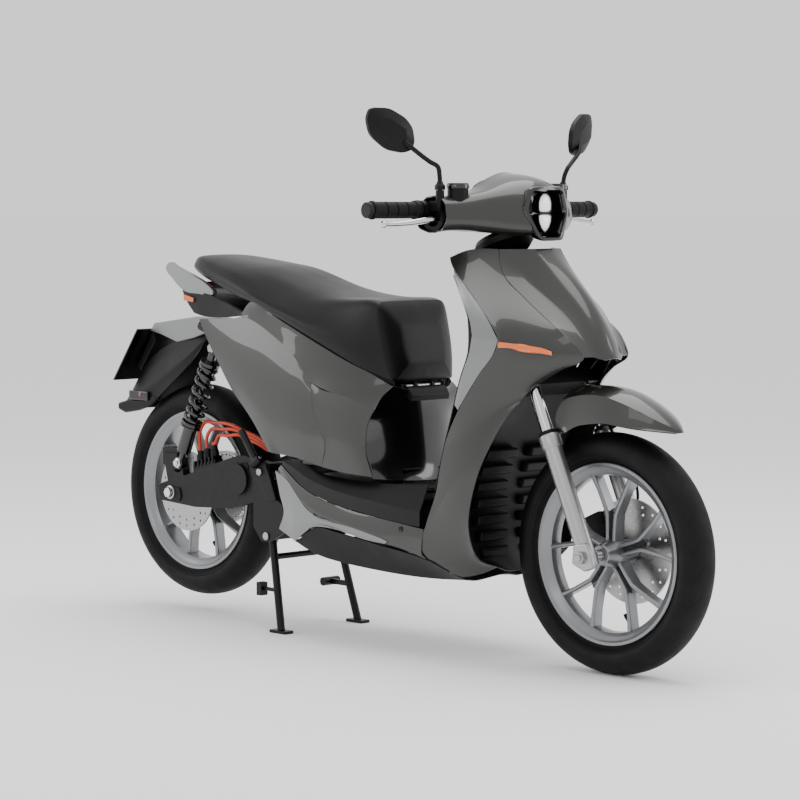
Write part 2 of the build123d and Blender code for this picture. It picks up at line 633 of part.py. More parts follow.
crown = crown_plane(CROWN_AT) * Pos(CROWN_AHEAD, 0, 0) * Box(*CROWN_SIZE)
crown = fillet(crown.edges().filter_by(Axis((0, 0, 0), UP)), 14)
stem = rod(steer(CROWN_AT), steer(CLAMP_AT), STEM_R)
clamp = crown_plane(CLAMP_AT) * Pos(2, 0, 0) * Box(38, 56, 32)
stem_piece = crown + stem + clamp
leg_top = CROWN_AT + CROWN_H / 2
for seat_hole in both(leg(CROWN_AT - CROWN_H, leg_top + 1, STANCHION_R)):
    stem_piece -= seat_hole
bar_route = [bar_point(RIGHT, BAR_END - 1), bar_point(RIGHT, BAR_STRAIGHT),
             bar_point(LEFT, BAR_STRAIGHT), bar_point(LEFT, BAR_END - 1)]
bar = bent(bar_route, 60, BAR_R)
stem_piece -= bar
put("steering_stem", stem_piece)
put("stanchions", *both(leg(LEG_FOOT, leg_top, STANCHION_R)))

END_CAP = 12.0
for side in (RIGHT, LEFT):
    bar += rod(bar_point(side, BAR_END - END_CAP), bar_point(side, BAR_END), GRIP_R - 1.5)
put("handlebar", bar)

grip_out = BAR_END - END_CAP - 0.5
right_grip = rod(bar_point(RIGHT, grip_out), bar_point(RIGHT, grip_out - GRIP_LEN), GRIP_R, BAR_R + RUN)
left_grip = rod(bar_point(LEFT, grip_out), bar_point(LEFT, grip_out - GRIP_LEN), GRIP_R, BAR_R)
put("throttle_grip", right_grip)
put("left_grip", left_grip)

POD_IN, POD_OUT = 170.0, 209.0
POD_R = 20.0
RESERVOIR_R = 22.0
RESERVOIR_TOP = 1013.0
LEVER_X = bar_point(RIGHT, LEVER_Y).X + 36.0
LEVER_Z = 937.0
LEVER_HUB_R = 9.0
LEVER_PIN_R = 4.0
BUTTON_R = 5.0
MIRROR_STEM_R = 5.0
BUTTON_Y = 190.0


def control_pod():
    """Switch pod on the bar, with the brake master cylinder, reservoir and mirror socket."""
    pod = rod(bar_point(RIGHT, POD_OUT), bar_point(RIGHT, POD_IN), POD_R)
    pod += block((282, -181, 946), (LEVER_X + 13, -148, 968))
    pod += block((LEVER_X - 16, -170, 960), (LEVER_X + 16, -140, 978))
    pod += rod((RESERVOIR[0], -RESERVOIR[1], 972), (RESERVOIR[0], -RESERVOIR[1], RESERVOIR_TOP), RESERVOIR_R)
    pod += block((300, -198, 955), (MIRROR_BASE[0] + 9, -170, 976))
    pod += rod((MIRROR_BASE[0], -MIRROR_BASE[1], 966), (MIRROR_BASE[0], -MIRROR_BASE[1], 998), 9)
    pod -= rod((MIRROR_BASE[0], -MIRROR_BASE[1], 982), (MIRROR_BASE[0], -MIRROR_BASE[1], 1000),
               MIRROR_STEM_R + RUN)
    pod += rod((LEVER_X, -LEVER_Y, 928), (LEVER_X, -LEVER_Y, 950), LEVER_PIN_R)
    pod -= rod(bar_point(RIGHT, POD_OUT + 5), bar_point(RIGHT, POD_IN - 40), BAR_R)
    spot = bar_point(RIGHT, BUTTON_Y)
    pod -= rod((spot.X - POD_R - 1, spot.Y, spot.Z), (spot.X - POD_R + 7.5, spot.Y, spot.Z), BUTTON_R + 0.15)
    return pod


pods = both(control_pod())
put("control_pods", *pods)
button_at = bar_point(RIGHT, BUTTON_Y)
button = rod((button_at.X - POD_R - 2.5, button_at.Y, button_at.Z),
             (button_at.X - POD_R + 5, button_at.Y, button_at.Z), BUTTON_R)
put("start_button", button)
put("horn_button", flip(button))


def lever_piece():
    """Brake lever: pivot eye, blade and ball end."""
    eye = rod((LEVER_X, -LEVER_Y, LEVER_Z - 5), (LEVER_X, -LEVER_Y, LEVER_Z + 5), LEVER_HUB_R)
    x, y, z = LEVER_TIP
    start = Vector(LEVER_X, -LEVER_Y, LEVER_Z)
    knee = Vector(LEVER_X - 14, -LEVER_Y - 42, LEVER_Z - 2)
    end = Vector(x + 3, -y + 6, z)
    blade = bent([start, knee, end], 50, 5.0)
    ball = Pos(at(x), -y, z) * Sphere(7)
    piece = eye + blade + ball
    low, high = (LEVER_X, -LEVER_Y, LEVER_Z - 12), (LEVER_X, -LEVER_Y, LEVER_Z + 12)
    return piece - rod(low, high, LEVER_PIN_R + RUN)


lever = lever_piece()
put("brake_lever_right", lever)
put("brake_lever_left", flip(lever))

MIRROR_JOINT = (308.0, 261.0, 1088.0)
MIRROR_MID = (281.0, 293.0, 1121.0)
MIRROR_LINE = [(56, 23), (49, 44), (36, 47), (3, 46), (-35, 23), (-51, 6), (-56, -26), (-49, -43),
               (-26, -47), (16, -38), (51, -6)]
MIRROR_OUTWARD = Vector(-0.306, -0.952, 0)
MIRROR_T = 18.0


def mirror_piece():
    """Rear-view mirror: bent stem and faceted head."""
    x, y = MIRROR_BASE
    jx, jy, jz = MIRROR_JOINT
    stem_route = [(x, -y, 983), (x + 4, -y - 7, 1044), (jx, -jy, jz), (jx - 12, -jy - 14, jz + 14)]
    stalk = bent(stem_route, 16, MIRROR_STEM_R)
    foot = rod((x, -y, 982.5), (x, -y, 999), MIRROR_STEM_R)
    plane = Plane(origin=(at(MIRROR_MID[0]), -MIRROR_MID[1], MIRROR_MID[2]), x_dir=MIRROR_OUTWARD,
                  z_dir=MIRROR_OUTWARD.cross(Vector(0, 0, 1)))
    head = extrude(plane * Polygon(*MIRROR_LINE, align=None), MIRROR_T / 2, both=True)
    return foot + (stalk - rod((x, -y, 975), (x, -y, 999), 12)) + head


mirror_right = mirror_piece()
put("mirror_right", mirror_right)
put("mirror_left", flip(mirror_right))

COVER = {
    0: [(272, 914), (262, 950), (285, 1000), (340, 1022), (390, 1014), (452, 1004), (470, 914),
        (452, 893), (400, 899), (320, 904)],
    60: [(272, 914), (262, 950), (285, 998), (335, 1019), (378, 1018), (438, 1002), (456, 916),
         (440, 899), (395, 901), (320, 905)],
    110: [(272, 915), (263, 945), (280, 985), (320, 1002), (362, 1006), (405, 990), (413, 926),
          (398, 908), (370, 905), (315, 906)],
    150: [(270, 918), (263, 942), (275, 975), (305, 990), (335, 993), (368, 975), (375, 930),
          (360, 913), (340, 909), (305, 908)],
    190: [(264, 920), (258, 942), (264, 972), (290, 990), (318, 992), (342, 974), (347, 934),
          (337, 917), (318, 911), (292, 911)],
}


def cover_ring(y, line, inset):
    cx = sum(p[0] for p in line) / len(line)
    cz = sum(p[1] for p in line) / len(line)
    ring = []
    for x, z in line:
        out = Vector(x - cx, 0, z - cz)
        ring.append(placed((x, y, z)) - out.normalized() * inset)
    return ring


def cover_rings(inset, spill):
    """Sections of the cover from right to left; spill pushes the end sections out."""
    rings = []
    for y in sorted(COVER, reverse=True):
        rings.append(cover_ring(-y - (spill if y == 190 else 0), COVER[y], inset))
    for y in sorted(COVER)[1:]:
        rings.append(cover_ring(y + (spill if y == 190 else 0), COVER[y], inset))
    return rings


LAMP_LOW, LAMP_HIGH, LAMP_HALF = 908.0, 998.0, 47.0
cover = lofted(cover_rings(0, 0)) - lofted(cover_rings(WALL + 1, 8))
cover -= block((400, -LAMP_HALF - 2, LAMP_LOW - 2), (500, LAMP_HALF + 2, LAMP_HIGH + 2))
for side in (RIGHT, LEFT):
    cover -= rod((RESERVOIR[0], side * RESERVOIR[1], 960), (RESERVOIR[0], side * RESERVOIR[1], 1030),
                 RESERVOIR_R + 1.5)
    base = (MIRROR_BASE[0], side * MIRROR_BASE[1])
    cover -= rod((*base, 960), (*base, 1030), 13)
    cover -= rod(bar_point(side, POD_IN - 20), bar_point(side, POD_OUT + 10), POD_R + 1.5)
cover -= rod(steer(660), steer(750), 60)
for side in (RIGHT, LEFT):
    spot = bar_point(side, BUTTON_Y)
    cover -= rod((spot.X - 40, spot.Y, spot.Z), (spot.X, spot.Y, spot.Z), BUTTON_R + 2)
put("handlebar_cover", max(cover.solids(), key=lambda solid: solid.volume))

lamp_line = [(398, LAMP_LOW), (440, LAMP_LOW), (452, LAMP_LOW + 11), (436, LAMP_HIGH), (398, LAMP_HIGH)]
headlamp = slab(lamp_line, -LAMP_HALF, LAMP_HALF)
put("headlamp", headlamp)
boot = rod(steer(700), steer(712), 58, STEM_R) + (rod(steer(712), steer(HEAD_TOP + 128), 52, STEM_R))
put("neck_boot", boot)

fender_rows = [
    [(552, 68, 520), (560, 65, 566), (572, 35, 592), (578, 0, 598)],
    [(603, 74, 516), (634, 61, 586), (642, 32, 600), (645, 0, 604)],
    [(671, 73, 524), (700, 57, 572), (712, 30, 582), (716, 0, 585)],
    [(733, 68, 519), (752, 47, 553), (766, 24, 560), (774, 0, 560)],
    [(782, 46, 514), (795, 33, 527), (806, 17, 534), (814, 0, 534)],
    [(815, 10, 511), (820, 7, 513), (822, 3, 514), (824, 0, 515)],
]
fender = wide_skin(fender_rows, (645, 0, 251))
arch = crown_plane(CROWN_AT - CROWN_H / 2 - 4) * Pos(CROWN_AHEAD + 36, 0, 0) * Box(60, 90, 5)
put("front_fender", fender, arch - fender)

# ------------------------------------------------------------------ fork legs and front wheel
slider = leg(SLIDER_FOOT, SLIDER_TOP, SLIDER_R)
slider -= leg(BORE_FOOT, SLIDER_TOP + 1, STANCHION_R + RUN)
slider -= cross(FRONT, -120, 120, AXLE_R)
put("fork_sliders", *both(slider))

HUB_FRONT_RIGHT, HUB_FRONT_LEFT = -46.0, 50.0
front_axle = cross(FRONT, -LEG_Y - SLIDER_R - 6, LEG_Y + SLIDER_R + 6, AXLE_R)
for y0, y1 in ((-111, -LEG_Y - SLIDER_R), (LEG_Y + SLIDER_R, 111),
               (-LEG_Y + SLIDER_R, HUB_FRONT_RIGHT - 0.5), (HUB_FRONT_LEFT + DISC_T + 0.5, LEG_Y - SLIDER_R)):
    front_axle += cross(FRONT, y0, y1, 12)
put("front_axle", front_axle)
put("front_rim", wheel(FRONT, FRONT_RIM_W, HUB_FRONT_RIGHT, HUB_FRONT_LEFT))
put("front_tyre", tyre(FRONT, FRONT_TYRE_W, FRONT_RIM_W))
put("front_disc", disc(FRONT, HUB_FRONT_LEFT, HUB_FRONT_LEFT + DISC_T, FRONT_DISC_R, 20))

caliper = crown_plane(74) * Pos(FORK_OFFSET - 62, 0, 0) * Box(40, 29, 60)
caliper = Pos(0, HUB_FRONT_LEFT + DISC_T / 2, 0) * caliper
caliper += crown_plane(74) * Pos(FORK_OFFSET - 26, 62, 0) * Box(54, 8, 34)
caliper -= cross(FRONT, HUB_FRONT_LEFT - 1.5, HUB_FRONT_LEFT + DISC_T + 1.5, FRONT_DISC_R + 3)
caliper -= flip(leg(SLIDER_FOOT, SLIDER_TOP, SLIDER_R))
put("front_caliper", max(caliper.solids(), key=lambda solid: solid.volume))

# ------------------------------------------------------------------ swingarm, motor and rear wheel
ARM_OUT = ARM_Y + ARM_T
ARM_LINE = [(-694, 306), (-688, 270), (-560, 262), (-433, 268), (-350, 290), (-335, 330), (-300, 345),
            (-292, 362), (-300, 380), (-335, 386), (-383, 393), (-407, 393), (-483, 370), (-600, 332),
            (-612, 372), (-632, 372), (-640, 322)]
HUB_REAR_RIGHT, HUB_REAR_LEFT = -58.0, 62.0
TERMINAL_Y = 90.0
TERMINALS = [(-559, 364), (-535, 371), (-510, 379)]


def swingarm_pieces():
    """Cast swingarm with its pivot tube, brace and axle lugs; the axle is a solid of its own."""
    arm = slab(ARM_LINE, -ARM_OUT, -ARM_Y)
    arm -= cross(PIVOT, -ARM_OUT, -ARM_Y, PIVOT_R + RUN)
    arm -= cross(REAR, -ARM_OUT, -ARM_Y, AXLE_R)
    arm -= cross(SHOCK_LOW, -ARM_OUT - 1, -ARM_Y - 5, 22)
    stud = cross(SHOCK_LOW, -SHOCK_Y - SHOCK_EYE_W / 2 - 3, -ARM_Y - 4, STUD_R)
    cap = cross((-405, 338), -ARM_OUT - 8, -ARM_OUT, 36)
    tube = cross(PIVOT, -ARM_Y, ARM_Y, 20, PIVOT_R + RUN)
    brace = block((-372, -ARM_Y, 296), (-354, ARM_Y, 326))
    piece = arm + stud + cap + tube + brace + flip(arm) + flip(stud)
    piece -= cross((MOTOR_X, MOTOR_Z), ARM_Y, ARM_OUT, MOTOR_R - 8)
    axle = cross(REAR, -ARM_OUT - 6, ARM_OUT + 6, AXLE_R)
    for y0, y1 in ((-ARM_OUT - 7, -ARM_OUT), (ARM_OUT, ARM_OUT + 7),
                   (-ARM_Y, HUB_REAR_RIGHT - DISC_T - 0.5), (HUB_REAR_LEFT + SPROCKET_T + 0.5, ARM_Y)):
        axle += cross(REAR, y0, y1, 12)
    return [piece, axle]


arm_pieces = swingarm_pieces()
put("swingarm", *arm_pieces)

motor = cross((MOTOR_X, MOTOR_Z), 72, ARM_Y, MOTOR_R)
motor += cross((MOTOR_X, MOTOR_Z), ARM_Y, ARM_OUT, MOTOR_R - 8)
motor += cross((MOTOR_X, MOTOR_Z), ARM_OUT, ARM_OUT + 18, MOTOR_R)
motor -= cross((MOTOR_X, MOTOR_Z), 71, 84, SHAFT_R + RUN)
blocks = []
for side in (RIGHT, LEFT):
    low, high = sorted((side * (TERMINAL_Y - 12), side * (TERMINAL_Y + 12)))
    base = slab([(-574, 330), (-496, 330), (-496, 377), (-574, 355)], low, high)
    for x, z in TERMINALS:
        base += rod((x, side * TERMINAL_Y, z - 12), (x, side * TERMINAL_Y, z + 18), 8)
    base -= arm_pieces[0]
    blocks.append(max(base.solids(), key=lambda solid: solid.volume))
put("drive_motor", motor - arm_pieces[0], *blocks)

CABLE_ENDS = [(-388, 426), (-390, 434), (-394, 442)]
cables = []
for k in range(3):
    x, z = TERMINALS[k]
    end_x, end_z = CABLE_ENDS[2 - k]
    top = 462 - 12 * k
    spread = 5 - 5 * k
    y = -TERMINAL_Y
    half_way = ((x + end_x) / 2 + 22, y + 10 - spread, (top + end_z) / 2 + 5)
    route = [(x, y, z + 18.4), (x - 6, y, z + 46 - 6 * k), (x + 10, y + 2, top - 3), (x + 42, y + 5, top),
             half_way, (end_x, y + 20 - spread, end_z)]
    cables += both(bent(route, 13, CABLE_R))
put("motor_cables", *cables)

rear_caliper = block((-706, -84, 350), (-650, -46, 392))
rear_caliper += slab([(-680, 296), (-652, 300), (-650, 380), (-700, 380)], -ARM_Y, -82)
rear_caliper -= cross(REAR, HUB_REAR_RIGHT - DISC_T - 1.5, HUB_REAR_RIGHT + 1.5, REAR_DISC_R + 3)
rear_caliper -= arm_pieces[1]
put("rear_caliper", max(rear_caliper.solids(), key=lambda solid: solid.volume))

put("rear_rim", wheel(REAR, REAR_RIM_W, HUB_REAR_RIGHT, HUB_REAR_LEFT))
put("rear_tyre", tyre(REAR, REAR_TYRE_W, REAR_RIM_W))
put("rear_disc", disc(REAR, HUB_REAR_RIGHT - DISC_T, HUB_REAR_RIGHT, REAR_DISC_R, 20))
put("rear_sprocket", sprocket(REAR, HUB_REAR_LEFT, HUB_REAR_LEFT + SPROCKET_T, SPROCKET_R, 40, 20))
drive = sprocket((MOTOR_X, MOTOR_Z), HUB_REAR_LEFT, HUB_REAR_LEFT + SPROCKET_T, DRIVE_SPROCKET_R, 13, 0)
drive += cross((MOTOR_X, MOTOR_Z), HUB_REAR_LEFT, 83, SHAFT_R)
put("drive_sprocket", drive)


def chain_loop(out):
    """Outline of the chain round both sprockets, a distance out from the tooth tips."""
    a, b = Vector(*REAR), Vector(MOTOR_X, MOTOR_Z)
    big, small = SPROCKET_R + out, DRIVE_SPROCKET_R + out
    run = b - a
    lean = math.acos((big - small) / run.length)
    heading = math.atan2(run.Y, run.X)
    points = []
    steps = 24
    for k in range(steps + 1):
        turn = heading + lean + (2 * math.pi - 2 * lean) * k / steps
        points.append((a.X + big * math.cos(turn), a.Y + big * math.sin(turn)))
    for k in range(steps // 2 + 1):
        turn = heading - lean + 2 * lean * k / (steps // 2)
        points.append((b.X + small * math.cos(turn), b.Y + small * math.sin(turn)))
    return points


chain = slab(chain_loop(7.5), HUB_REAR_LEFT - 3, HUB_REAR_LEFT + SPROCKET_T + 3)
chain -= slab(chain_loop(0.8), HUB_REAR_LEFT - 4, HUB_REAR_LEFT + SPROCKET_T + 4)
put("chain", chain)

# ------------------------------------------------------------------ shock absorbers
shock_low = Vector(SHOCK_LOW[0], -SHOCK_Y, SHOCK_LOW[1])
shock_run = Vector(SHOCK_TOP[0], -SHOCK_Y, SHOCK_TOP[1]) - shock_low
SHOCK_LEN = shock_run.length
SHOCK_DIR = shock_run.normalized()
OPEN_PIVOT = 2.5          # clearance round the lower stud, where the linkage is opened
BODY_TOP = 110.0
COLLAR = 8.0
ROD_R = 6.0
SPRING_FOOT = BODY_TOP + 0.5
SPRING_HEAD = SHOCK_LEN - 44.0


def along_shock(low, high, r, bore=0.0):
    return rod(shock_low + SHOCK_DIR * low, shock_low + SHOCK_DIR * high, r, bore)


def eye(place, bore):
    half = SHOCK_EYE_W / 2
    ends = (-SHOCK_Y - half, -SHOCK_Y + half)
    return cross(place, *ends, 14), cross(place, *ends, bore)


low_eye, low_hole = eye(SHOCK_LOW, STUD_R + OPEN_PIVOT)
lower = low_eye + along_shock(0, 36, 7) + along_shock(31, BODY_TOP, 17)
lower += along_shock(BODY_TOP - COLLAR, BODY_TOP, SPRING_R + 1)
lower -= low_hole
lower -= along_shock(38, BODY_TOP + 1, ROD_R + RUN)
top_eye, top_hole = eye(SHOCK_TOP, STUD_R + RUN)
upper = top_eye + along_shock(SPRING_HEAD + 0.5, SPRING_HEAD + COLLAR, SPRING_R + 1)
upper += along_shock(SPRING_HEAD, SHOCK_LEN - 12, 10)
upper += along_shock(BODY_TOP - 12, SPRING_HEAD + 1, ROD_R)
upper -= top_hole
spring = along_shock(SPRING_FOOT, SPRING_HEAD, SPRING_R, SPRING_R - 7)
put("shock_uppers", *both(upper))
put("shock_lowers", *both(lower))
put("shock_springs", *both(spring))

# ------------------------------------------------------------------ centre stand and footpegs
stand = cross(STAND, -PLATE_Y + 2, PLATE_Y - 2, 11)
foot = Vector(STAND_FOOT_X, -STAND_FOOT_Y, 0)
hip = Vector(STAND_X, -100, STAND_Z)
run = foot - hip
shin = rod(hip, foot + Vector(0, 0, 6), STAND_TUBE_R)
pad = block((foot.X - 26, foot.Y - 13, 0), (foot.X + 26, foot.Y + 13, 7))
tie = cross((hip.X + run.X * 0.22, hip.Z + run.Z * 0.22), hip.Y, -hip.Y, 7)
stand += shin + pad + flip(shin) + flip(pad) + tie
stand += block((-334, -119, 78), (-318, -99, 108)) + block((-322, -112, 90), (-268, -106, 98))
stand += cross((-330, 90), 84, 132, 10) + block((-326, 102, 84), (-268, 110, 96))
stand -= cross(STAND, -PLATE_Y, PLATE_Y, STAND_PIN_R + RUN)
stand -= block((-400, -200, -20), (-100, 200, 0))
put("centre_stand", stand)

peg_at = Vector(PEG_AT[0], -PEG_AT[1], PEG_AT[2])
peg = rod(peg_at - PEG_HINGE * (PEG_HALF - 0.3), peg_at + PEG_HINGE * (PEG_HALF - 0.3), 9)
peg += rod(peg_at, peg_at + PEG_UP * 84, 8.5)
peg -= rod(peg_at - PEG_HINGE * 30, peg_at + PEG_HINGE * 30, PEG_PIN_R + RUN)
put("peg_right", peg)
put("peg_left", flip(peg))

# ------------------------------------------------------------------ seat
SEAT = [(-622, 40, 818, 30, 826, 829), (-600, 62, 812, 50, 838, 848), (-544, 90, 800, 78, 838, 850),
        (-483, 108, 785, 92, 828, 845), (-410, 122, 766, 104, 812, 836), (-329, 136, 745, 116, 788, 828),
        (-268, 140, 728, 114, 766, 812), (-219, 141, 711, 108, 752, 797), (-162, 141, 689, 106, 748, 782),
        (-100, 139, 664, 104, 746, 768), (-25, 130, 631, 102, 748, 758), (30, 118, 607, 100, 748, 759),
        (62, 104, 592, 90, 730, 742), (92, 80, 580, 70, 650, 655), (110, 40, 583, 34, 600, 606)]
seat_rings = []
for x, w, low, w_high, high, crown_z in SEAT:
    half_ring = [(x, w, low), (x, w + 2, low + 0.4 * (high - low)), (x, w_high, high),
                 (x, w_high * 0.5, (high + crown_z) / 2 + 2)]
    ring = [placed((x, 0, low))] + crossed(half_ring, RIGHT) + [placed((x, 0, crown_z))]
    ring += crossed(half_ring, LEFT)[::-1]
    seat_rings.append(ring)
put("seat_cushion", lofted(seat_rings))

pan_rows = []
for x, w, low, w_high, high, crown_z in SEAT[1:13]:
    half = min(w - 14, 84)
    pan_rows.append([(x, half, low - 0.5), (x, half / 2, low - 0.5), (x, 0, low - 0.5)])
pan = wide_skin(pan_rows, (-250, 0, -2000), 4.0)
hinge_x, hinge_z = SEAT_HINGE
lug_line = [(60, 589), (40, 594), (hinge_x - 8, hinge_z - 6)]
lug_line += [(hinge_x + 9, hinge_z - 2), (hinge_x + 6, hinge_z + 7)]
lug = slab(lug_line, -30, -22)
lug += cross(SEAT_HINGE, -30, -22, 10)
lug -= cross(SEAT_HINGE, -31, -21, SEAT_PIN_R + RUN)
pan += lug + flip(lug)
put("seat_pan", pan - NODES["seat_cushion"][0])

# ------------------------------------------------------------------ bolts and pins
BOLT_END = PLATE_OUT + 4
bolts = []
for place, r in ((PIVOT, PIVOT_R), (STAND, STAND_PIN_R)):
    bolt = cross(place, -BOLT_END, BOLT_END, r)
    bolts.append(bolt + cross(place, -BOLT_END, -PLATE_OUT, r + 3) + cross(place, PLATE_OUT, BOLT_END, r + 3))
post_in = SEAT_POST_Y - SEAT_POST_R
bolts.append(cross(SEAT_HINGE, -post_in, post_in, SEAT_PIN_R))
bolts += both(rod(peg_at - PEG_HINGE * 18, peg_at + PEG_HINGE * 18, PEG_PIN_R))
frame_solids = NODES["frame"]
trimmed = []
for bolt in bolts:
    for solid in frame_solids:
        bolt = bolt - solid
    trimmed.append(max(bolt.solids(), key=lambda solid: solid.volume))
put("body_fasteners", *trimmed)

# ------------------------------------------------------------------ files
os.makedirs("parts", exist_ok=True)
for name, solids in NODES.items():
    export_step(Compound(children=solids) if len(solids) > 1 else solids[0], f"parts/{name}.step")
print(len(NODES), "nodes")
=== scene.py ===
import json
import math

import bmesh
import bpy
import numpy as np
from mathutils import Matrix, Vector

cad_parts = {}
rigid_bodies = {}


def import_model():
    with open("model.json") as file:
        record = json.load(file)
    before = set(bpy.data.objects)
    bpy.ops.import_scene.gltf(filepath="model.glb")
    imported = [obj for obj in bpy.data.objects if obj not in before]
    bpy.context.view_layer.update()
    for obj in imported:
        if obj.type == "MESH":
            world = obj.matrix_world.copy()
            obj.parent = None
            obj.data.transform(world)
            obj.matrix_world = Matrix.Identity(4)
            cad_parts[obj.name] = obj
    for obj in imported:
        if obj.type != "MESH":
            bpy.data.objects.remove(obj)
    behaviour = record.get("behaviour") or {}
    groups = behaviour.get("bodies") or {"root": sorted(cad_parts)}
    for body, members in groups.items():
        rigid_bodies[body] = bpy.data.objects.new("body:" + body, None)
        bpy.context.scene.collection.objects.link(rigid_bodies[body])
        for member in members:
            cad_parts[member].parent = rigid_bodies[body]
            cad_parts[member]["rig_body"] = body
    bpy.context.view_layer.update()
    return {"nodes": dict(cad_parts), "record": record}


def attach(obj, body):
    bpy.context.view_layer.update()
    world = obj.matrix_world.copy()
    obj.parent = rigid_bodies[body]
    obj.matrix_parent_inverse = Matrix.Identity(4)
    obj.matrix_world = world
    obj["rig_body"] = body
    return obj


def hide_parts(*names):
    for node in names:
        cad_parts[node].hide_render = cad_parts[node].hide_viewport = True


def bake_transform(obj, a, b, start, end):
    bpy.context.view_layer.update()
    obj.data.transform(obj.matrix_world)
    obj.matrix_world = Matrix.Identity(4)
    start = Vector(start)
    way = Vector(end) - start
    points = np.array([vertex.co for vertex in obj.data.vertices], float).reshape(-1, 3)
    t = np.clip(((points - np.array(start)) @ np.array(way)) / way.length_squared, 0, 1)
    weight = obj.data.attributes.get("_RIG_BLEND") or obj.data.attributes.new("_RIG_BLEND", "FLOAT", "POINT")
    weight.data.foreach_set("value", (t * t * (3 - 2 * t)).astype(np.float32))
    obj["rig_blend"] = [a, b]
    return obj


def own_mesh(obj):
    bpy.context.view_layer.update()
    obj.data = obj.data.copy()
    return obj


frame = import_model()
MM = 0.001
BODY_OF = {n: b for b, ns in frame["record"]["behaviour"]["bodies"].items() for n in ns}


# ---------------------------------------------------------------- finishes
def linear(code):
    """sRGB hex to a linear colour."""
    parts = [int(code[i:i + 2], 16) / 255 for i in (0, 2, 4)]
    return tuple(c / 12.92 if c <= 0.04045 else ((c + 0.055) / 1.055) ** 2.4 for c in parts) + (1.0,)


def node(tree, kind, links=None, **settings):
    """One shader node. links maps an input's name or number to a value or to another node's output."""
    n = tree.nodes.new(kind)
    for key, value in settings.items():
        setattr(n, key, value)
    for key, value in (links or {}).items():
        if isinstance(value, bpy.types.NodeSocket):
            tree.links.new(value, n.inputs[key])
        else:
            n.inputs[key].default_value = value
    return n


def finish_of(name, colour, **sockets):
    """A new finish with its main shader and its tree."""
    m = bpy.data.materials.new(name)
    m.use_nodes = True
    tree = m.node_tree
    shader = tree.nodes["Principled BSDF"]
    shader.inputs["Base Color"].default_value = linear(colour)
    for key, value in sockets.items():
        shader.inputs[key.replace("_", " ")].default_value = value
    return m, tree, shader


def grain(tree, size, detail=3.0, kind="ShaderNodeTexNoise", **settings):
    """A pattern whose cells are about size millimetres across."""
    where = node(tree, "ShaderNodeTexCoord").outputs["Object"]
    links = {"Vector": where, "Scale": 1 / (size * MM)}
    if kind == "ShaderNodeTexNoise":
        links["Detail"] = detail
    return node(tree, kind, links, **settings)


def bump(tree, shader, height, depth, under=None):
    """Relief depth millimetres high on the shader's surface."""
    links = {"Height": height, "Distance": depth * MM, "Strength": 1.0}
    if under is not None:
        links["Normal"] = under
    out = node(tree, "ShaderNodeBump", links).outputs["Normal"]
    tree.links.new(out, shader.inputs["Normal"])
    return out


def spread(tree, value, low, high, socket):
    """Carry a 0 to 1 value to a socket as low to high."""
    n = node(tree, "ShaderNodeMapRange", {"Value": value, "From Min": 0.25, "From Max": 0.75,
                                          "To Min": low, "To Max": high})
    tree.links.new(n.outputs["Result"], socket)


def painted_body():
    """Sprayed metallic base with fine aluminium flake under a polished clear coat."""
    m, t, s = finish_of("painted_body", "2b2b2a", Metallic=0.6, Roughness=0.36, Coat_Weight=0.7,
                        Coat_Roughness=0.03, Coat_IOR=1.5)
    flake = grain(t, 0.5, kind="ShaderNodeTexVoronoi")
    tone = node(t, "ShaderNodeMix", data_type="RGBA")
    t.links.new(flake.outputs["Color"], tone.inputs[0])
    tone.inputs[6].default_value, tone.inputs[7].default_value = linear("222221"), linear("373735")
    t.links.new(tone.outputs[2], s.inputs["Base Color"])
    peel = grain(t, 3.0, 1.0)
    bump(t, s, peel.outputs["Fac"], 0.004)
    return m


def silver_paint():
    """Satin silver lacquer over a moulded trim strip."""
    m, t, s = finish_of("silver_paint", "7c7d7e", Metallic=0.75, Roughness=0.38, Coat_Weight=0.35,
                        Coat_Roughness=0.22)
    speck = grain(t, 0.35, 2.0)
    spread(t, speck.outputs["Fac"], 0.34, 0.44, s.inputs["Roughness"])
    return m


def black_plastic():
    """Injection-moulded polypropylene from a spark-eroded mould: fine even grain."""
    m, t, s = finish_of("black_plastic", "060607", Roughness=0.42, Specular_IOR_Level=0.22)
    bump(t, s, grain(t, 0.9, 2.0).outputs["Fac"], 0.05)
    spread(t, grain(t, 60, 2.0).outputs["Fac"], 0.38, 0.48, s.inputs["Roughness"])
    return m


def gloss_black():
    """Black moulding from a polished mould."""
    m, t, s = finish_of("gloss_black", "060607", Roughness=0.14, Coat_Weight=0.6, Coat_Roughness=0.05)
    bump(t, s, grain(t, 6, 1.0).outputs["Fac"], 0.004)
    return m


def frame_black():
    """Powder coat on welded steel: a slightly lumpy half gloss."""
    m, t, s = finish_of("frame_black", "060607", Roughness=0.36, Specular_IOR_Level=0.25)
    bump(t, s, grain(t, 1.2, 2.0).outputs["Fac"], 0.03)
    return m


def cast_grey():
    """Dark paint over a sand-cast housing: the casting skin shows through."""
    m, t, s = finish_of("cast_grey", "101011", Metallic=0.3, Roughness=0.46, Specular_IOR_Level=0.35)
    bump(t, s, grain(t, 1.6, 4.0).outputs["Fac"], 0.09)
    spread(t, grain(t, 18, 3.0).outputs["Fac"], 0.42, 0.56, s.inputs["Roughness"])
    return m


def wheel_silver():
    """Die-cast alloy, painted silver grey and baked."""
    m, t, s = finish_of("wheel_silver", "818285", Metallic=0.85, Roughness=0.34, Coat_Weight=0.4,
                        Coat_Roughness=0.12)
    bump(t, s, grain(t, 0.8, 3.0).outputs["Fac"], 0.015)
    spread(t, grain(t, 25, 2.0).outputs["Fac"], 0.3, 0.4, s.inputs["Roughness"])
    return m


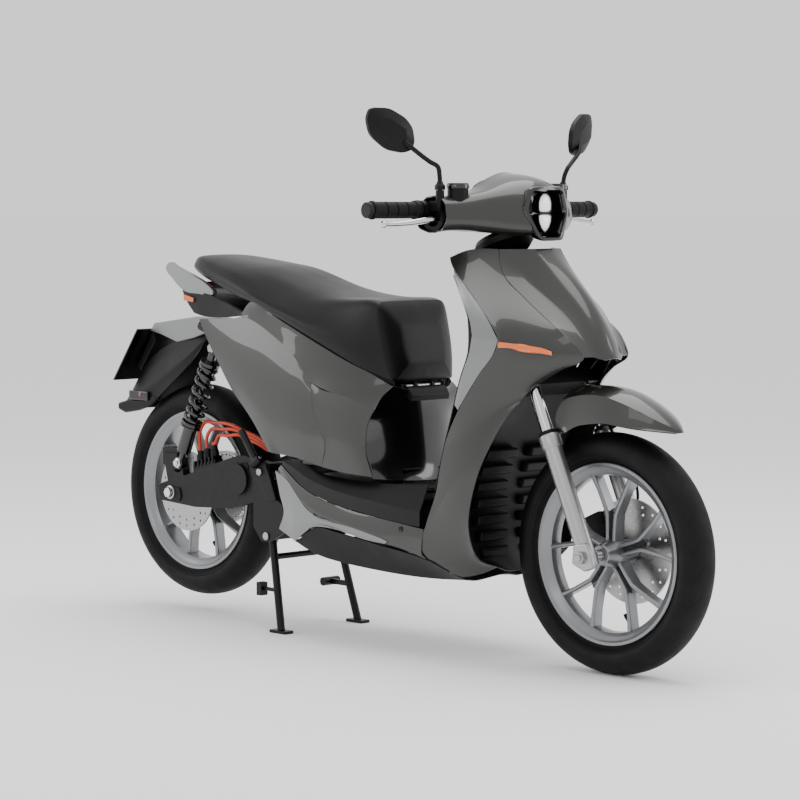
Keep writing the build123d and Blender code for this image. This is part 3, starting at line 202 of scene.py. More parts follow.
def fork_silver():
    """Turned and lacquered alloy tube with faint tool marks round it."""
    m, t, s = finish_of("fork_silver", "a8a8a8", Metallic=0.9, Roughness=0.33, Anisotropic=0.4)
    bump(t, s, grain(t, 0.5, 2.0).outputs["Fac"], 0.008)
    return m


def chrome():
    """Hard chrome plate, ground and buffed."""
    m, t, s = finish_of("chrome", "d4d4d4", Metallic=1.0, Roughness=0.09)
    spread(t, grain(t, 12, 4.0).outputs["Fac"], 0.07, 0.13, s.inputs["Roughness"])
    return m


def steel():
    """Rolled and ground stainless steel."""
    m, t, s = finish_of("steel", "a8a8a7", Metallic=1.0, Roughness=0.3, Anisotropic=0.5)
    spread(t, grain(t, 4, 6.0).outputs["Fac"], 0.24, 0.38, s.inputs["Roughness"])
    bump(t, s, grain(t, 0.4, 2.0).outputs["Fac"], 0.006)
    return m


def tyre_rubber():
    """Cured tyre compound: curved sipes moulded into the tread, a dull bloom on the sidewall."""
    m, t, s = finish_of("tyre", "070708", Roughness=0.62, Specular_IOR_Level=0.2)
    where = node(t, "ShaderNodeSeparateXYZ", {0: node(t, "ShaderNodeTexCoord").outputs["Object"]}).outputs

    def sum_of(kind, one, two=0.0):
        return node(t, "ShaderNodeMath", {0: one, 1: two}, operation=kind).outputs[0]

    across = sum_of("ABSOLUTE", where["Y"])
    turn = sum_of("MULTIPLY", sum_of("ARCTAN2", where["Z"], where["X"]), 26 / (2 * math.pi))
    hand = sum_of("MULTIPLY", sum_of("SIGN", where["Y"]), 0.25)
    bent = sum_of("MULTIPLY", sum_of("POWER", across, 0.55), 8.5)
    phase = sum_of("FRACT", sum_of("ADD", sum_of("ADD", turn, hand), bent))
    line = sum_of("LESS_THAN", sum_of("ABSOLUTE", sum_of("SUBTRACT", phase, 0.5)), 0.055)
    band = sum_of("MULTIPLY", sum_of("GREATER_THAN", across, 0.007), sum_of("LESS_THAN", across, 0.037))
    groove = sum_of("MULTIPLY", line, band)
    # The sipe grooves are painted darker than the tread: painted shade in the grooves, on top of their real
    # bump.
    tone = node(t, "ShaderNodeMix", {0: groove, 6: linear("070708"), 7: linear("020202")}, data_type="RGBA")
    t.links.new(tone.outputs[2], s.inputs["Base Color"])
    skin = bump(t, s, grain(t, 0.7, 3.0).outputs["Fac"], 0.06)
    bump(t, s, sum_of("SUBTRACT", 1.0, groove), 2.5, skin)
    spread(t, grain(t, 35, 4.0).outputs["Fac"], 0.52, 0.7, s.inputs["Roughness"])
    return m


def rubber():
    """Soft moulded rubber."""
    m, t, s = finish_of("rubber", "060607", Roughness=0.56, Specular_IOR_Level=0.2)
    bump(t, s, grain(t, 0.6, 2.0).outputs["Fac"], 0.04)
    return m


def seat_vinyl():
    """Embossed seat vinyl: small pebbled cells with a soft sheen."""
    m, t, s = finish_of("seat_vinyl", "040405", Roughness=0.36, Specular_IOR_Level=0.25, Sheen_Weight=0.01,
                        Sheen_Roughness=0.4)
    cells = grain(t, 1.7, kind="ShaderNodeTexVoronoi", feature="DISTANCE_TO_EDGE")
    soft = node(t, "ShaderNodeMapRange", {"Value": cells.outputs["Distance"], "From Min": 0.0,
                                          "From Max": 0.22, "To Min": 0.0, "To Max": 1.0})
    low = bump(t, s, grain(t, 0.5, 3.0).outputs["Fac"], 0.02)
    bump(t, s, soft.outputs["Result"], 0.07, low)
    spread(t, grain(t, 90, 2.0).outputs["Fac"], 0.33, 0.42, s.inputs["Roughness"])
    return m


def amber_lens():
    """Amber acrylic over a ribbed reflector, with a faint painted glow standing in for light caught in the
    lens.
    """
    m, t, s = finish_of("amber_lens", "d05a00", Roughness=0.16, Coat_Weight=1.0, Coat_Roughness=0.03,
                        Emission_Strength=0.25)
    s.inputs["Emission Color"].default_value = linear("ff7400")
    ribs = grain(t, 5.0, kind="ShaderNodeTexWave", bands_direction="X")
    bump(t, s, ribs.outputs["Fac"], 0.35)
    return m


def red_lens():
    """Deep red acrylic over a facetted reflector."""
    m, t, s = finish_of("red_lens", "7a0508", Roughness=0.12, Coat_Weight=1.0, Coat_Roughness=0.03)
    bump(t, s, grain(t, 3.0, kind="ShaderNodeTexVoronoi").outputs["Distance"], 0.3)
    return m


def lamp_glass():
    """Clear lens in front of bright white reflector bowls; their brightness is a painted glow standing in for
    the light the bowls reflect.
    """
    m, t, s = finish_of("lamp_glass", "e9edf0", Roughness=0.1, Coat_Weight=1.0, Coat_Roughness=0.02,
                        Emission_Strength=0.55)
    s.inputs["Emission Color"].default_value = linear("f4f6f8")
    bump(t, s, grain(t, 9.0, kind="ShaderNodeTexVoronoi").outputs["Distance"], 0.5)
    return m


def orange_cable():
    """Extruded silicone sheath."""
    m, t, s = finish_of("orange_cable", "b02f0a", Roughness=0.42)
    bump(t, s, grain(t, 1.1, 2.0).outputs["Fac"], 0.03)
    return m


def battery_case():
    """Bead-blasted and anodised case."""
    m, t, s = finish_of("battery_case", "5a5c5e", Metallic=0.8, Roughness=0.5)
    bump(t, s, grain(t, 0.5, 3.0).outputs["Fac"], 0.03)
    return m


def mirror_glass():
    """Silvered mirror."""
    m, t, s = finish_of("mirror_glass", "e6e8ea", Metallic=1.0, Roughness=0.03)
    spread(t, grain(t, 40, 2.0).outputs["Fac"], 0.02, 0.05, s.inputs["Roughness"])
    return m


FINISH = {
    "painted_body": painted_body(), "silver_paint": silver_paint(), "black_plastic": black_plastic(),
    "gloss_black": gloss_black(), "frame_black": frame_black(), "cast_grey": cast_grey(),
    "wheel_silver": wheel_silver(), "fork_silver": fork_silver(), "chrome": chrome(), "steel": steel(),
    "tyre": tyre_rubber(), "rubber": rubber(), "seat_vinyl": seat_vinyl(), "amber_lens": amber_lens(),
    "red_lens": red_lens(), "lamp_glass": lamp_glass(), "orange_cable": orange_cable(),
    "battery_case": battery_case(), "mirror_glass": mirror_glass()}


# ---------------------------------------------------------------- mesh helpers
def spline(points, steps, hard=()):
    """Smooth run through points (any shape per point) with a corner at each index in hard."""
    points = np.asarray(points, float)
    flat = points.reshape(len(points), -1)
    gaps = np.linalg.norm(np.diff(flat, axis=0), axis=1) + 1e-9
    slopes = np.diff(flat, axis=0) / gaps[:, None]
    hard = [h % len(points) for h in hard]
    out = [flat[:1]]
    for i, gap in enumerate(gaps):
        a, b = slopes[i], slopes[i]
        if i > 0 and i not in hard:
            a = (slopes[i - 1] * gap + slopes[i] * gaps[i - 1]) / (gap + gaps[i - 1])
        if i + 1 < len(gaps) and i + 1 not in hard:
            b = (slopes[i] * gaps[i + 1] + slopes[i + 1] * gap) / (gap + gaps[i + 1])
        t = np.linspace(0, 1, steps + 1)[1:, None]
        p, q = flat[i], flat[i + 1]
        out.append((2 * t**3 - 3 * t**2 + 1) * p + (t**3 - 2 * t**2 + t) * gap * a
                   + (3 * t**2 - 2 * t**3) * q + (t**3 - t**2) * gap * b)
    return np.vstack(out).reshape(-1, *points.shape[1:])


def surface(rows, steps=6, hard_rows=(), hard_cols=(), calm=80):
    """Dense grid through rows of control points, faired between its edges and creases."""
    down = spline(np.asarray(rows, float), steps, hard_rows)
    grid = spline(down.transpose(1, 0, 2), steps, hard_cols).transpose(1, 0, 2)
    by_row, by_col = np.ones(grid.shape[:2] + (1,)), np.ones(grid.shape[:2] + (1,))
    for h in hard_rows:
        by_row[(h % len(rows)) * steps] = 0
    for h in hard_cols:
        by_col[:, (h % len(rows[0])) * steps] = 0
    for _ in range(calm):
        c = grid[1:-1, 1:-1]
        up_down = (grid[:-2, 1:-1] + grid[2:, 1:-1]) / 2 - c
        across = (grid[1:-1, :-2] + grid[1:-1, 2:]) / 2 - c
        grid[1:-1, 1:-1] = c + 0.4 * (up_down * by_row[1:-1, 1:-1] + across * by_col[1:-1, 1:-1])
    return grid


def sided(rows, side):
    """Rows given for the right side as x, distance from the middle, z."""
    return [[(x, side * s, z) for x, s, z in row] for row in rows]


def full(rows):
    """Rows that end in the middle plane, carried on across it."""
    return [r + l[-2::-1] for r, l in zip(sided(rows, -1), sided(rows, 1))]


def add(name, points, faces, finish, body, stands_for=(), smooth=32.0):
    """A mesh from millimetre points, riding on its body."""
    mesh = bpy.data.meshes.new(name)
    mesh.from_pydata([tuple(float(c) * MM for c in p) for p in points], [], faces)
    mesh.validate()
    work = bmesh.new()
    work.from_mesh(mesh)
    bmesh.ops.remove_doubles(work, verts=work.verts, dist=1e-6)
    bmesh.ops.recalc_face_normals(work, faces=work.faces)
    work.to_mesh(mesh)
    work.free()
    piece = bpy.data.objects.new(name, mesh)
    bpy.context.scene.collection.objects.link(piece)
    return dress(piece, finish, body, stands_for, smooth)


def dress(piece, finish, body, stands_for=(), smooth=32.0):
    piece.data.materials.clear()
    piece.data.materials.append(FINISH[finish])
    piece.data.shade_smooth()
    piece.data.set_sharp_from_angle(angle=math.radians(smooth))
    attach(piece, body)
    if stands_for:
        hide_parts(*stands_for)
    return piece


def rounded(piece, width=1.0, angle=30.0, segments=2):
    """Round the piece's sharp edges."""
    m = piece.modifiers.new("edges", "BEVEL")
    m.width, m.segments, m.limit_method = width * MM, segments, "ANGLE"
    m.angle_limit, m.harden_normals = math.radians(angle), False
    return piece


def grid_faces(rows, cols, wrap_rows=False, wrap_cols=False):
    faces = []
    for i in range(rows if wrap_rows else rows - 1):
        for j in range(cols if wrap_cols else cols - 1):
            k, m = (i + 1) % rows, (j + 1) % cols
            faces.append((i * cols + j, i * cols + m, k * cols + m, k * cols + j))
    return faces


def shell(name, grid, finish, body, inward, wall=3.0, stands_for=(), edge=0.8):
    """A panel wall millimetres thick whose outer face is the grid."""
    grid = np.asarray(grid)
    rows, cols = grid.shape[:2]
    across = np.gradient(grid, axis=1)
    down = np.gradient(grid, axis=0)
    normal = np.cross(across, down)
    normal /= np.linalg.norm(normal, axis=2, keepdims=True) + 1e-9
    towards = np.asarray(inward, float) - grid
    if (normal * towards).sum() < 0:
        normal = -normal
    inner = grid + normal * wall
    points = np.vstack([grid.reshape(-1, 3), inner.reshape(-1, 3)])
    n = rows * cols
    faces = grid_faces(rows, cols)
    faces += [tuple(n + k for k in face[::-1]) for face in grid_faces(rows, cols)]
    rim = [i * cols for i in range(rows)] + [(rows - 1) * cols + j for j in range(1, cols)]
    rim += [i * cols + cols - 1 for i in range(rows - 2, -1, -1)] + list(range(cols - 2, 0, -1))
    for a, b in zip(rim, rim[1:] + rim[:1]):
        faces.append((a, b, n + b, n + a))
    piece = add(name, points, faces, finish, body, stands_for)
    return rounded(piece, edge, 40) if edge else piece


def twin(name, rows, finish, body, inward, wall=3.0, stands_for=(), steps=6, hard_rows=(), hard_cols=(),
         edge=0.8):
    """The right-hand panel and its mirror image."""
    made = []
    for side, word in ((-1, "right"), (1, "left")):
        grid = surface(sided(rows, side), steps, hard_rows, hard_cols)
        made.append(shell(f"{name}_{word}", grid, finish, body, inward, wall,
                          stands_for if side < 0 else (), edge))
    return made


def tube(name, path, r, finish, body, stands_for=(), sides=20, steps=8, hard=(), caps=True):
    """A round bar or pipe along a smooth path; r is one radius or one per path point."""
    path = np.asarray(path, float)
    radii = np.full(len(path), float(r)) if np.isscalar(r) else np.asarray(r, float)
    run = spline(np.hstack([path, radii[:, None]]), steps, hard)
    line, radii = run[:, :3], run[:, 3]
    ahead = np.gradient(line, axis=0)
    ahead /= np.linalg.norm(ahead, axis=1, keepdims=True)
    side = np.cross(ahead[0], (0, 0, 1.0) if abs(ahead[0][2]) < 0.9 else (1.0, 0, 0))
    points = []
    for p, a, radius in zip(line, ahead, radii):
        side = side - a * np.dot(side, a)
        side /= np.linalg.norm(side)
        up = np.cross(a, side)
        for k in range(sides):
            turn = 2 * math.pi * k / sides
            points.append(p + radius * (side * math.cos(turn) + up * math.sin(turn)))
    faces = grid_faces(len(line), sides, wrap_cols=True)
    if caps:
        faces += [tuple(range(sides)), tuple(len(line) * sides - 1 - k for k in range(sides))]
    return add(name, points, faces, finish, body, stands_for, smooth=50)


def turned(name, centre, axis, profile, finish, body, stands_for=(), sides=64, closed=False, smooth=32.0):
    """A revolved piece. profile holds (along the axis, radius)."""
    axis = Vector(axis).normalized()
    one = axis.orthogonal().normalized()
    two = axis.cross(one)
    points = []
    for along, radius in profile:
        for k in range(sides):
            turn = 2 * math.pi * k / sides
            points.append(Vector(centre) + axis * along + (one * math.cos(turn)
                                                           + two * math.sin(turn)) * radius)
    faces = grid_faces(len(profile), sides, wrap_rows=closed, wrap_cols=True)
    if not closed:
        if profile[0][1] > 0.01:
            faces.append(tuple(range(sides)))
        if profile[-1][1] > 0.01:
            faces.append(tuple(len(points) - 1 - k for k in range(sides)))
    return add(name, points, faces, finish, body, stands_for, smooth=smooth)


def plate(name, outline, y0, y1, finish, body, stands_for=(), edge=1.0, frame_of=None, smooth=32.0):
    """A flat piece: an outline in X and Z, thick from y0 to y1. frame_of maps (a, b, depth) to a point."""
    put = frame_of or (lambda a, b, y: (a, y, b))
    n = len(outline)
    points = [put(a, b, y0) for a, b in outline] + [put(a, b, y1) for a, b in outline]
    faces = [tuple(range(n)), tuple(range(2 * n - 1, n - 1, -1))]
    faces += [(i, (i + 1) % n, n + (i + 1) % n, n + i) for i in range(n)]
    piece = add(name, points, faces, finish, body, stands_for, smooth)
    return rounded(piece, edge, 30, 3) if edge else piece


def sideways(side, near, far):
    """The lower and the higher Y of something near to far from the middle, on one side."""
    return min(side * near, side * far), max(side * near, side * far)


def hexagon(x, z, radius):
    """Six corners round a point in X and Z."""
    return [(x + radius * math.cos(k * math.pi / 3),
             z + radius * math.sin(k * math.pi / 3)) for k in range(6)]


def cuboid(name, low, high, finish, body, stands_for=(), edge=1.0):
    return plate(name, [(low[0], low[2]), (high[0], low[2]), (high[0], high[2]), (low[0], high[2])],
                 low[1], high[1], finish, body, stands_for, edge)


# ---------------------------------------------------------------- front body
NOSE = [
    [(396, 88, 876), (424, 70, 876), (454, 40, 876.5), (460, 0, 877)],
    [(408, 97, 848), (430, 74, 848), (478, 34, 848), (500, 0, 850)],
    [(426, 102, 820), (447, 71, 820), (508, 28, 820), (540, 0, 822)],
    [(470, 95, 780), (492, 62, 780), (556, 28, 777), (585, 0, 779)],
    [(527, 89, 737), (556, 54, 740), (592, 28, 734), (616, 0, 737)],
    [(586, 84, 697), (601, 50, 697), (620, 28, 692), (636, 0, 697)],
    [(619, 69, 657), (624, 46, 657), (637, 26, 650), (645, 0, 654)],
]
shell("nose_cover", surface(full(NOSE), 7, hard_cols=(1, 2, 4, 5)), "painted_body", "chassis", (300, 0, 600),
      stands_for=("nose_panel",))

SHIELD = [
    [(312, 149, 858), (340, 131, 872), (366, 110, 877), (393, 91, 877)],
    [(326, 158, 845), (352, 142, 850), (380, 117, 851), (404, 98, 850)],
    [(348, 167, 828), (370, 150, 826), (394, 126, 822), (421, 104, 820)],
    [(397, 176, 788), (420, 154, 786), (444, 126, 783), (466, 97, 780)],
    [(452, 182, 737), (476, 157, 738), (500, 126, 738), (523, 92, 737)],
    [(481, 178, 691), (516, 153, 692), (550, 121, 693), (583, 87, 696)],
    [(465, 178, 659), (515, 153, 652), (566, 114, 652), (616, 74, 657)],
    [(428, 177, 621), (480, 158, 612), (528, 120, 616), (566, 82, 628)],
    [(399, 176, 587), (433, 172, 578), (472, 150, 575), (508, 106, 588)],
    [(361, 173, 541), (400, 170, 540), (438, 162, 539), (478, 140, 539)],
    [(318, 168, 469), (359, 171, 469), (400, 170, 469), (440, 160, 469)],
    [(301, 167, 413), (340, 172, 413), (376, 172, 413), (412, 165, 413)],
    [(287, 167, 355), (324, 173, 350), (356, 173, 346), (388, 165, 342)],
    [(265, 170, 298), (305, 174, 296), (344, 173, 294), (383, 165, 293)],
    [(250, 169, 236), (292, 168, 232), (340, 160, 234), (388, 150, 238)],
    [(300, 150, 196), (328, 140, 196), (360, 130, 204), (391, 120, 216)],
    [(330, 128, 183), (348, 118, 186), (372, 104, 194), (400, 92, 208)],
]
# The shield takes the nose panel's edge, so the two meet along one line.
for k, row in enumerate(NOSE):
    SHIELD[k][3] = row[0]
twin("leg_shield", SHIELD, "painted_body", "chassis", (300, 0, 500), stands_for=("leg_shields",))

EDGE = [(338, 165, 820), (375, 178, 773), (409, 188, 727), (417, 190, 699), (407, 188, 664), (390, 184, 634),
        (370, 178, 600), (350, 173, 552)]
POINT = [row[0] for row in SHIELD[2:10]]
MIDDLE = [((a[0] + b[0]) / 2 + 3, (a[1] + b[1]) / 2 + 3.5, (a[2] + b[2]) / 2) for a, b in zip(EDGE, POINT)]
twin("shield_trim", [EDGE, MIDDLE, [(x - 1.5, s, z) for x, s, z in POINT]], "silver_paint", "chassis",
     (300, 0, 680), 4.0, ("silver_accents",), hard_cols=(3,))
LAMP = [[(484, 181.5, 688), (500, 171, 686), (525, 155, 682), (556, 124, 675), (568, 113, 669)],
        [(484, 184, 682), (500, 174, 681), (526, 158, 676), (558, 127, 669), (571, 114, 665)],
        [(484, 182, 676), (500, 172, 676), (527, 156, 671), (558, 125, 664), (570, 113, 661)]]
twin("indicator", LAMP, "amber_lens", "chassis", (300, 0, 680), 4.0, ("amber_lenses",))
for side, word in ((-1, "right"), (1, "left")):
    plate(f"tail_reflector_{word}", [(-590, 744), (-558, 741), (-557, 751), (-592, 758)],
          *sideways(side, 112, 114.5), "amber_lens", "chassis", edge=0.6)

INNER = [
    [(316, 146, 856), (304, 100, 856), (297, 0, 856)],
    [(346, 165, 808), (310, 106, 800), (299, 0, 800)],
    [(402, 185, 727), (330, 112, 727), (302, 0, 727)],
    [(411, 187, 699), (334, 112, 699), (303, 0, 699)],
    [(400, 185, 664), (333, 112, 664), (302, 0, 664)],
    [(368, 177, 606), (320, 112, 600), (297, 0, 600)],
    [(330, 166, 519), (300, 112, 519), (287, 0, 519)],
    [(303, 160, 453), (280, 111, 453), (267, 0, 453)],
    [(287, 160, 397), (260, 108, 397), (247, 0, 397)],
    [(274, 156, 366), (242, 104, 366), (234, 0, 366)],
]
shell("rider_panel", surface(full(INNER), 6, hard_cols=(1, 3)), "black_plastic", "chassis", (450, 0, 600),
      stands_for=("inner_leg_shield",))
HEAD = 24.0
UP = Vector((-math.sin(math.radians(HEAD)), 0, math.cos(math.radians(HEAD))))
AHEAD = Vector((UP.z, 0, -UP.x))
FOOT = Vector((645, 0, 251)) - AHEAD * 30


def steer(along, side=0.0, ahead=0.0):
    """A point in the fork's directions, in millimetres."""
    return FOOT + UP * along + AHEAD * ahead + Vector((0, side, 0))


DECK = [(308, -130), (342, -122), (392, -86), (430, -64), (450, -40), (457, 0)]
DECK += [(x, -y) for x, y in DECK[-2::-1]]
HOLE = [(332 + 52 * math.cos(a), 52 * math.sin(a)) for a in np.linspace(-math.pi, math.pi, len(DECK) * 4 + 1)]
ring = spline(DECK + [DECK[0]], 4, hard=(0, len(DECK) - 1))
hole = [min(HOLE, key=lambda h: math.hypot(h[0] - 332 - 52 * (p[0] - 360) / 200,
                                           h[1] - 0.42 * p[1])) for p in ring]
n = len(ring)
deck_points = [(x, y, 866) for x, y in ring] + [(x, y, 862) for x, y in hole]
add("top_deck", deck_points, [(i, i + 1, n + i + 1, n + i) for i in range(n - 1)], "black_plastic", "chassis")

GRILLE = [
    [(392, 84, 208), (380, 40, 194), (372, 0, 190)],
    [(356, 124, 226), (352, 60, 216), (350, 0, 214)],
    [(347, 140, 270), (344, 70, 268), (343, 0, 268)],
    [(345, 146, 340), (342, 70, 340), (341, 0, 340)],
    [(357, 147, 400), (352, 70, 400), (351, 0, 400)],
    [(376, 144, 450), (369, 70, 450), (367, 0, 450)],
    [(404, 136, 505), (394, 66, 505), (391, 0, 505)],
    [(430, 121, 548), (414, 56, 548), (409, 0, 548)],
    [(500, 94, 606), (452, 50, 610), (444, 0, 612)],
]
shell("wheel_well", surface(full(GRILLE), 5), "black_plastic", "chassis", (200, 0, 400),
      stands_for=("front_grille",))
for side, word in ((-1, "right"), (1, "left")):
    for k in range(7):
        z = 224 + 35 * k
        lean = 352 + max(0, z - 370) * 0.42
        near, far = 20, 104 + min(k, 2) * 7
        points = []
        for s, out in ((near, -4), (near + 3, 5), (far - 4, 7), (far, -4)):
            points += [(lean + out + 2, side * s, z), (lean + out + 6, side * s, z + 3),
                       (lean + out + 10, side * s, z + 17), (lean + out + 6, side * s, z + 21),
                       (lean - 8, side * s, z + 21), (lean - 10, side * s, z)]
        faces = grid_faces(4, 6, wrap_cols=True) + [tuple(range(6)), tuple(range(23, 17, -1))]
        rounded(add(f"louvre_{word}_{k}", points, faces, "black_plastic", "chassis"), 1.6, 25, 3)

# ---------------------------------------------------------------- floor and skirts
EDGE_IN = [(-214, 141, 404), (-169, 146, 402), (-137, 146, 391), (-84, 138, 374), (-5, 130, 366),
           (84, 128, 365), (170, 127, 368), (222, 121, 372)]
EDGE_TOP = [(-206, 152, 396), (-172, 158, 386), (-136, 163, 371), (-76, 166, 348), (12, 167, 338),
            (108, 167, 328), (183, 167, 321), (240, 166, 317)]
EDGE_LOW = [(-208, 154, 388), (-170, 160, 368), (-131, 166, 347), (-80, 170, 329), (-7, 171, 313),
            (113, 172, 298), (198, 171, 289), (244, 170, 286)]
twin("floor_edge", [EDGE_IN, EDGE_TOP, EDGE_LOW], "black_plastic", "chassis", (0, 0, 300), 3.0,
     ("floorboard",), hard_rows=(1,), edge=1.2)
SKIRT_LINE = [(-222, 151, 378), (-186, 160, 359), (-147, 168, 331), (-111, 173, 302), (-77, 175, 286),
              (43, 177, 273), (130, 177.5, 256), (154, 177, 249), (250, 171, 228)]
SKIRT_TOP = [(-210, 154, 386), (-172, 160.5, 366), (-131, 167, 345.5), (-80, 171, 327.5), (-7, 172, 311.5),
             (113, 173, 296.5), (160, 173, 292), (198, 172, 288), (256, 170.5, 282)]
SKIRT_MID = [tuple((p + q) / 2 + (1.5 if k == 1 else 0) for k, (p, q) in enumerate(zip(a, b)))
             for a, b in zip(SKIRT_TOP, SKIRT_LINE)]
SKIRT_END = [(-222, 152, 372), (-186, 160, 353), (-147, 168, 322), (-111, 171.5, 290), (-77, 174, 276),
             (43, 175.5, 262), (130, 176, 244), (190, 174.5, 236), (262, 168, 219)]
twin("skirt", [SKIRT_TOP, SKIRT_MID, SKIRT_LINE, SKIRT_END], "painted_body", "chassis", (0, 0, 260), 3.0,
     ("side_skirts",), hard_rows=(2,))
for side, word in ((-1, "right"), (1, "left")):
    turned(f"skirt_plug_{word}", (191, side * 173.2, 277), (0, side, 0),
           [(0, 6.5), (0.6, 6.5), (0.9, 5.6), (0.2, 4.6)], "black_plastic", "chassis", sides=32)
STRIP = [
    [(-232, 152, 372), (-188, 160, 357), (-147, 168, 328), (-111, 172.5, 300), (-77, 175.5, 284),
     (43, 178, 269), (130, 178.5, 254), (155, 178, 248)],
    [(-214, 154, 318), (-190, 161, 305), (-158, 168, 284), (-118, 174, 276), (-78, 177, 275), (40, 180, 264),
     (112, 180, 251), (151, 178.5, 245.5)],
    [(-202, 154, 286), (-186, 159, 276), (-160, 166, 262), (-120, 173, 264), (-79, 176, 270),
     (36, 179, 259.5), (100, 179, 249), (148, 178, 244)],
    [(-221, 151, 242), (-188, 154, 230), (-163, 156, 220), (-122, 165, 243), (-80, 172.5, 263),
     (30, 176, 254), (92, 176, 245), (146, 176, 241.5)],
]
twin("skirt_trim", STRIP, "silver_paint", "chassis", (0, 0, 260), 3.5, (), hard_cols=(2,))
BELLY_TOP = [(-168, 150, 218), (-138, 158, 230), (-100, 168, 250), (-70, 171, 259), (-7, 173, 253),
             (60, 173, 245), (127, 172, 236), (213, 171, 226), (272, 166, 214), (308, 148, 194)]
BELLY_FOLD = [(-176, 138, 215), (-150, 139, 206), (-126, 139, 191), (-84, 137, 186), (-30, 134, 180),
              (40, 130, 175), (122, 125, 170), (203, 120, 167), (262, 110, 168), (312, 96, 172)]
BELLY = [[t, tuple((p + q) / 2 + (2 if k == 1 else 0) for k, (p, q) in enumerate(zip(t, f))), f,
          (f[0], 60, f[2] - 4), (f[0] + (18 if f[0] > 200 else 0), 0, f[2] - 6 + (12 if f[0] > 300 else 0))]
         for t, f in zip(BELLY_TOP, BELLY_FOLD)]
shell("belly_tray", surface(full(BELLY), 5, hard_cols=(2, 6)), "black_plastic", "chassis", (60, 0, 320),
      stands_for=("belly_pan",))
for k in range(16):
    y = 14 * k - 109
    cuboid(f"rib_{k}", (110, y, 358), (222, y + 7, 364), "rubber", "chassis", edge=1.4)
floor_line = [(-200, -129), (-90, -132), (60, -129), (222, -122), (230, 0), (222, 122), (60, 129),
              (-90, 132), (-200, 129)]
plate("floor_mat", floor_line, 352, 360.5, "rubber", "chassis", frame_of=lambda a, b, d: (a, b, d))

# ---------------------------------------------------------------- rear body
SIDE = [
    [(-534, 117, 702), (-470, 121, 707), (-410, 126, 707), (-364, 129, 713), (-320, 134, 704),
     (-268, 139, 683), (-207, 143, 652), (-157, 146, 614), (-118, 147, 575)],
    [(-502, 120, 657), (-450, 129, 662), (-396, 136, 664), (-348, 140, 665), (-300, 144, 657),
     (-252, 147, 640), (-200, 149, 612), (-152, 150, 580), (-116, 150, 552)],
    [(-455, 124, 600), (-412, 134, 603), (-366, 140, 604), (-320, 144, 602), (-272, 148, 596),
     (-228, 151, 584), (-186, 152, 562), (-148, 152.5, 536), (-108, 151, 519)],
    [(-406, 130, 547), (-372, 138, 545), (-334, 143, 543), (-292, 147, 540), (-250, 150, 534),
     (-208, 152, 526), (-172, 153.5, 512), (-138, 154, 494), (-92, 152, 481)],
    [(-326, 138, 480), (-302, 142, 478), (-274, 146, 476), (-244, 149, 473), (-214, 151, 468),
     (-184, 153, 462), (-152, 154, 456), (-122, 154.5, 448), (-70, 152, 440)],
    [(-262, 145, 412), (-246, 147, 411), (-228, 148, 410), (-208, 149, 409), (-186, 150, 407),
     (-164, 150.5, 405), (-142, 150.5, 401), (-122, 150, 397), (-84, 148, 390)],
]
twin("tail_side", SIDE, "painted_body", "chassis", (-200, 0, 500), stands_for=("side_panels",))
FLANK = [
    [(-118, 147, 575), (-85, 148, 562), (-52, 147.5, 556), (-12, 146, 549), (34, 143.5, 537), (73, 140, 523)],
    [(-116, 150, 552), (-82, 150.5, 544), (-48, 150, 538), (-8, 148.5, 530), (30, 145.5, 520),
     (64, 141, 508)],
    [(-108, 151, 519), (-74, 151.5, 512), (-40, 151, 507), (-2, 149, 500), (30, 146, 492), (53, 142, 484)],
    [(-92, 152, 481), (-60, 152, 476), (-30, 151.5, 472), (2, 149.5, 465), (28, 146.5, 458), (50, 142, 450)],
    [(-70, 152, 440), (-44, 152, 436), (-18, 151, 433), (8, 149, 430), (32, 146, 427), (52, 142, 424)],
    [(-84, 148, 390), (-52, 148, 386), (-18, 147, 382), (14, 146, 380), (44, 144, 379), (71, 141, 377)],
]
twin("tail_flank", FLANK, "painted_body", "chassis", (-200, 0, 500))
BAND = [
    [(-371, 124, 726), (-350, 130, 741), (-329, 137, 748), (-270, 139, 728), (-219, 140.5, 707),
     (-117, 138, 665), (-25, 128, 626), (30, 115, 604), (60, 105, 588), (84, 92, 574)],
    [(-371, 128, 721), (-350, 132, 731), (-324, 138, 729), (-268, 141, 709), (-214, 144, 682),
     (-138, 145, 638), (-60, 141, 602), (4, 133, 576), (52, 124, 558), (81, 114, 547)],
    [(-370, 131, 712), (-346, 133, 711), (-318, 135, 703), (-268, 140, 682), (-207, 144, 651),
     (-157, 147, 613), (-118, 148, 576), (-52, 149, 557), (24, 144.5, 540), (73, 140, 523)],
]
twin("seat_band", BAND, "painted_body", "chassis", (-200, 0, 500))
twin("seat_band_shadow", [[(-330, 134, 752), (-219, 137, 716), (-117, 135, 675), (-25, 124, 636),
                           (55, 104, 600), (82, 84, 584)],
                          [(-330, 132, 744), (-219, 135, 705), (-117, 133, 663), (-25, 122, 624),
                           (55, 102, 588), (82, 82, 572)]], "black_plastic", "chassis", (-200, 0, 500), 2.5)
COVER = [
    [(86, 92, 576), (97, 62, 566), (103, 0, 560)],
    [(80, 122, 552), (95, 84, 552), (106, 0, 552)],
    [(73, 139, 522), (93, 98, 528), (108, 0, 532)],
    [(54, 141, 500), (92, 96, 500), (110, 0, 500)],
    [(50, 141, 474), (94, 94, 474), (113, 0, 474)],
    [(50, 141, 432), (96, 94, 430), (115, 0, 430)],
    [(66, 141, 400), (100, 96, 400), (116, 0, 400)],
    [(73, 141, 374), (104, 96, 370), (117, 0, 366)],
]
shell("tunnel_cover", surface(full(COVER), 6), "gloss_black", "chassis", (0, 0, 450),
      stands_for=("underseat_cover",))
for side in (-1, 1):
    word = "right" if side < 0 else "left"
    cuboid(f"cover_vent_{word}", (90, min(side * 30, side * 74), 390), (110, max(side * 30, side * 74), 394),
           "black_plastic", "chassis", edge=0.8)
plate("cover_mouth", [(94, 545), (108, 540), (110, 552), (102, 566), (92, 572)], -58, 58, "black_plastic",
      "chassis", edge=2)

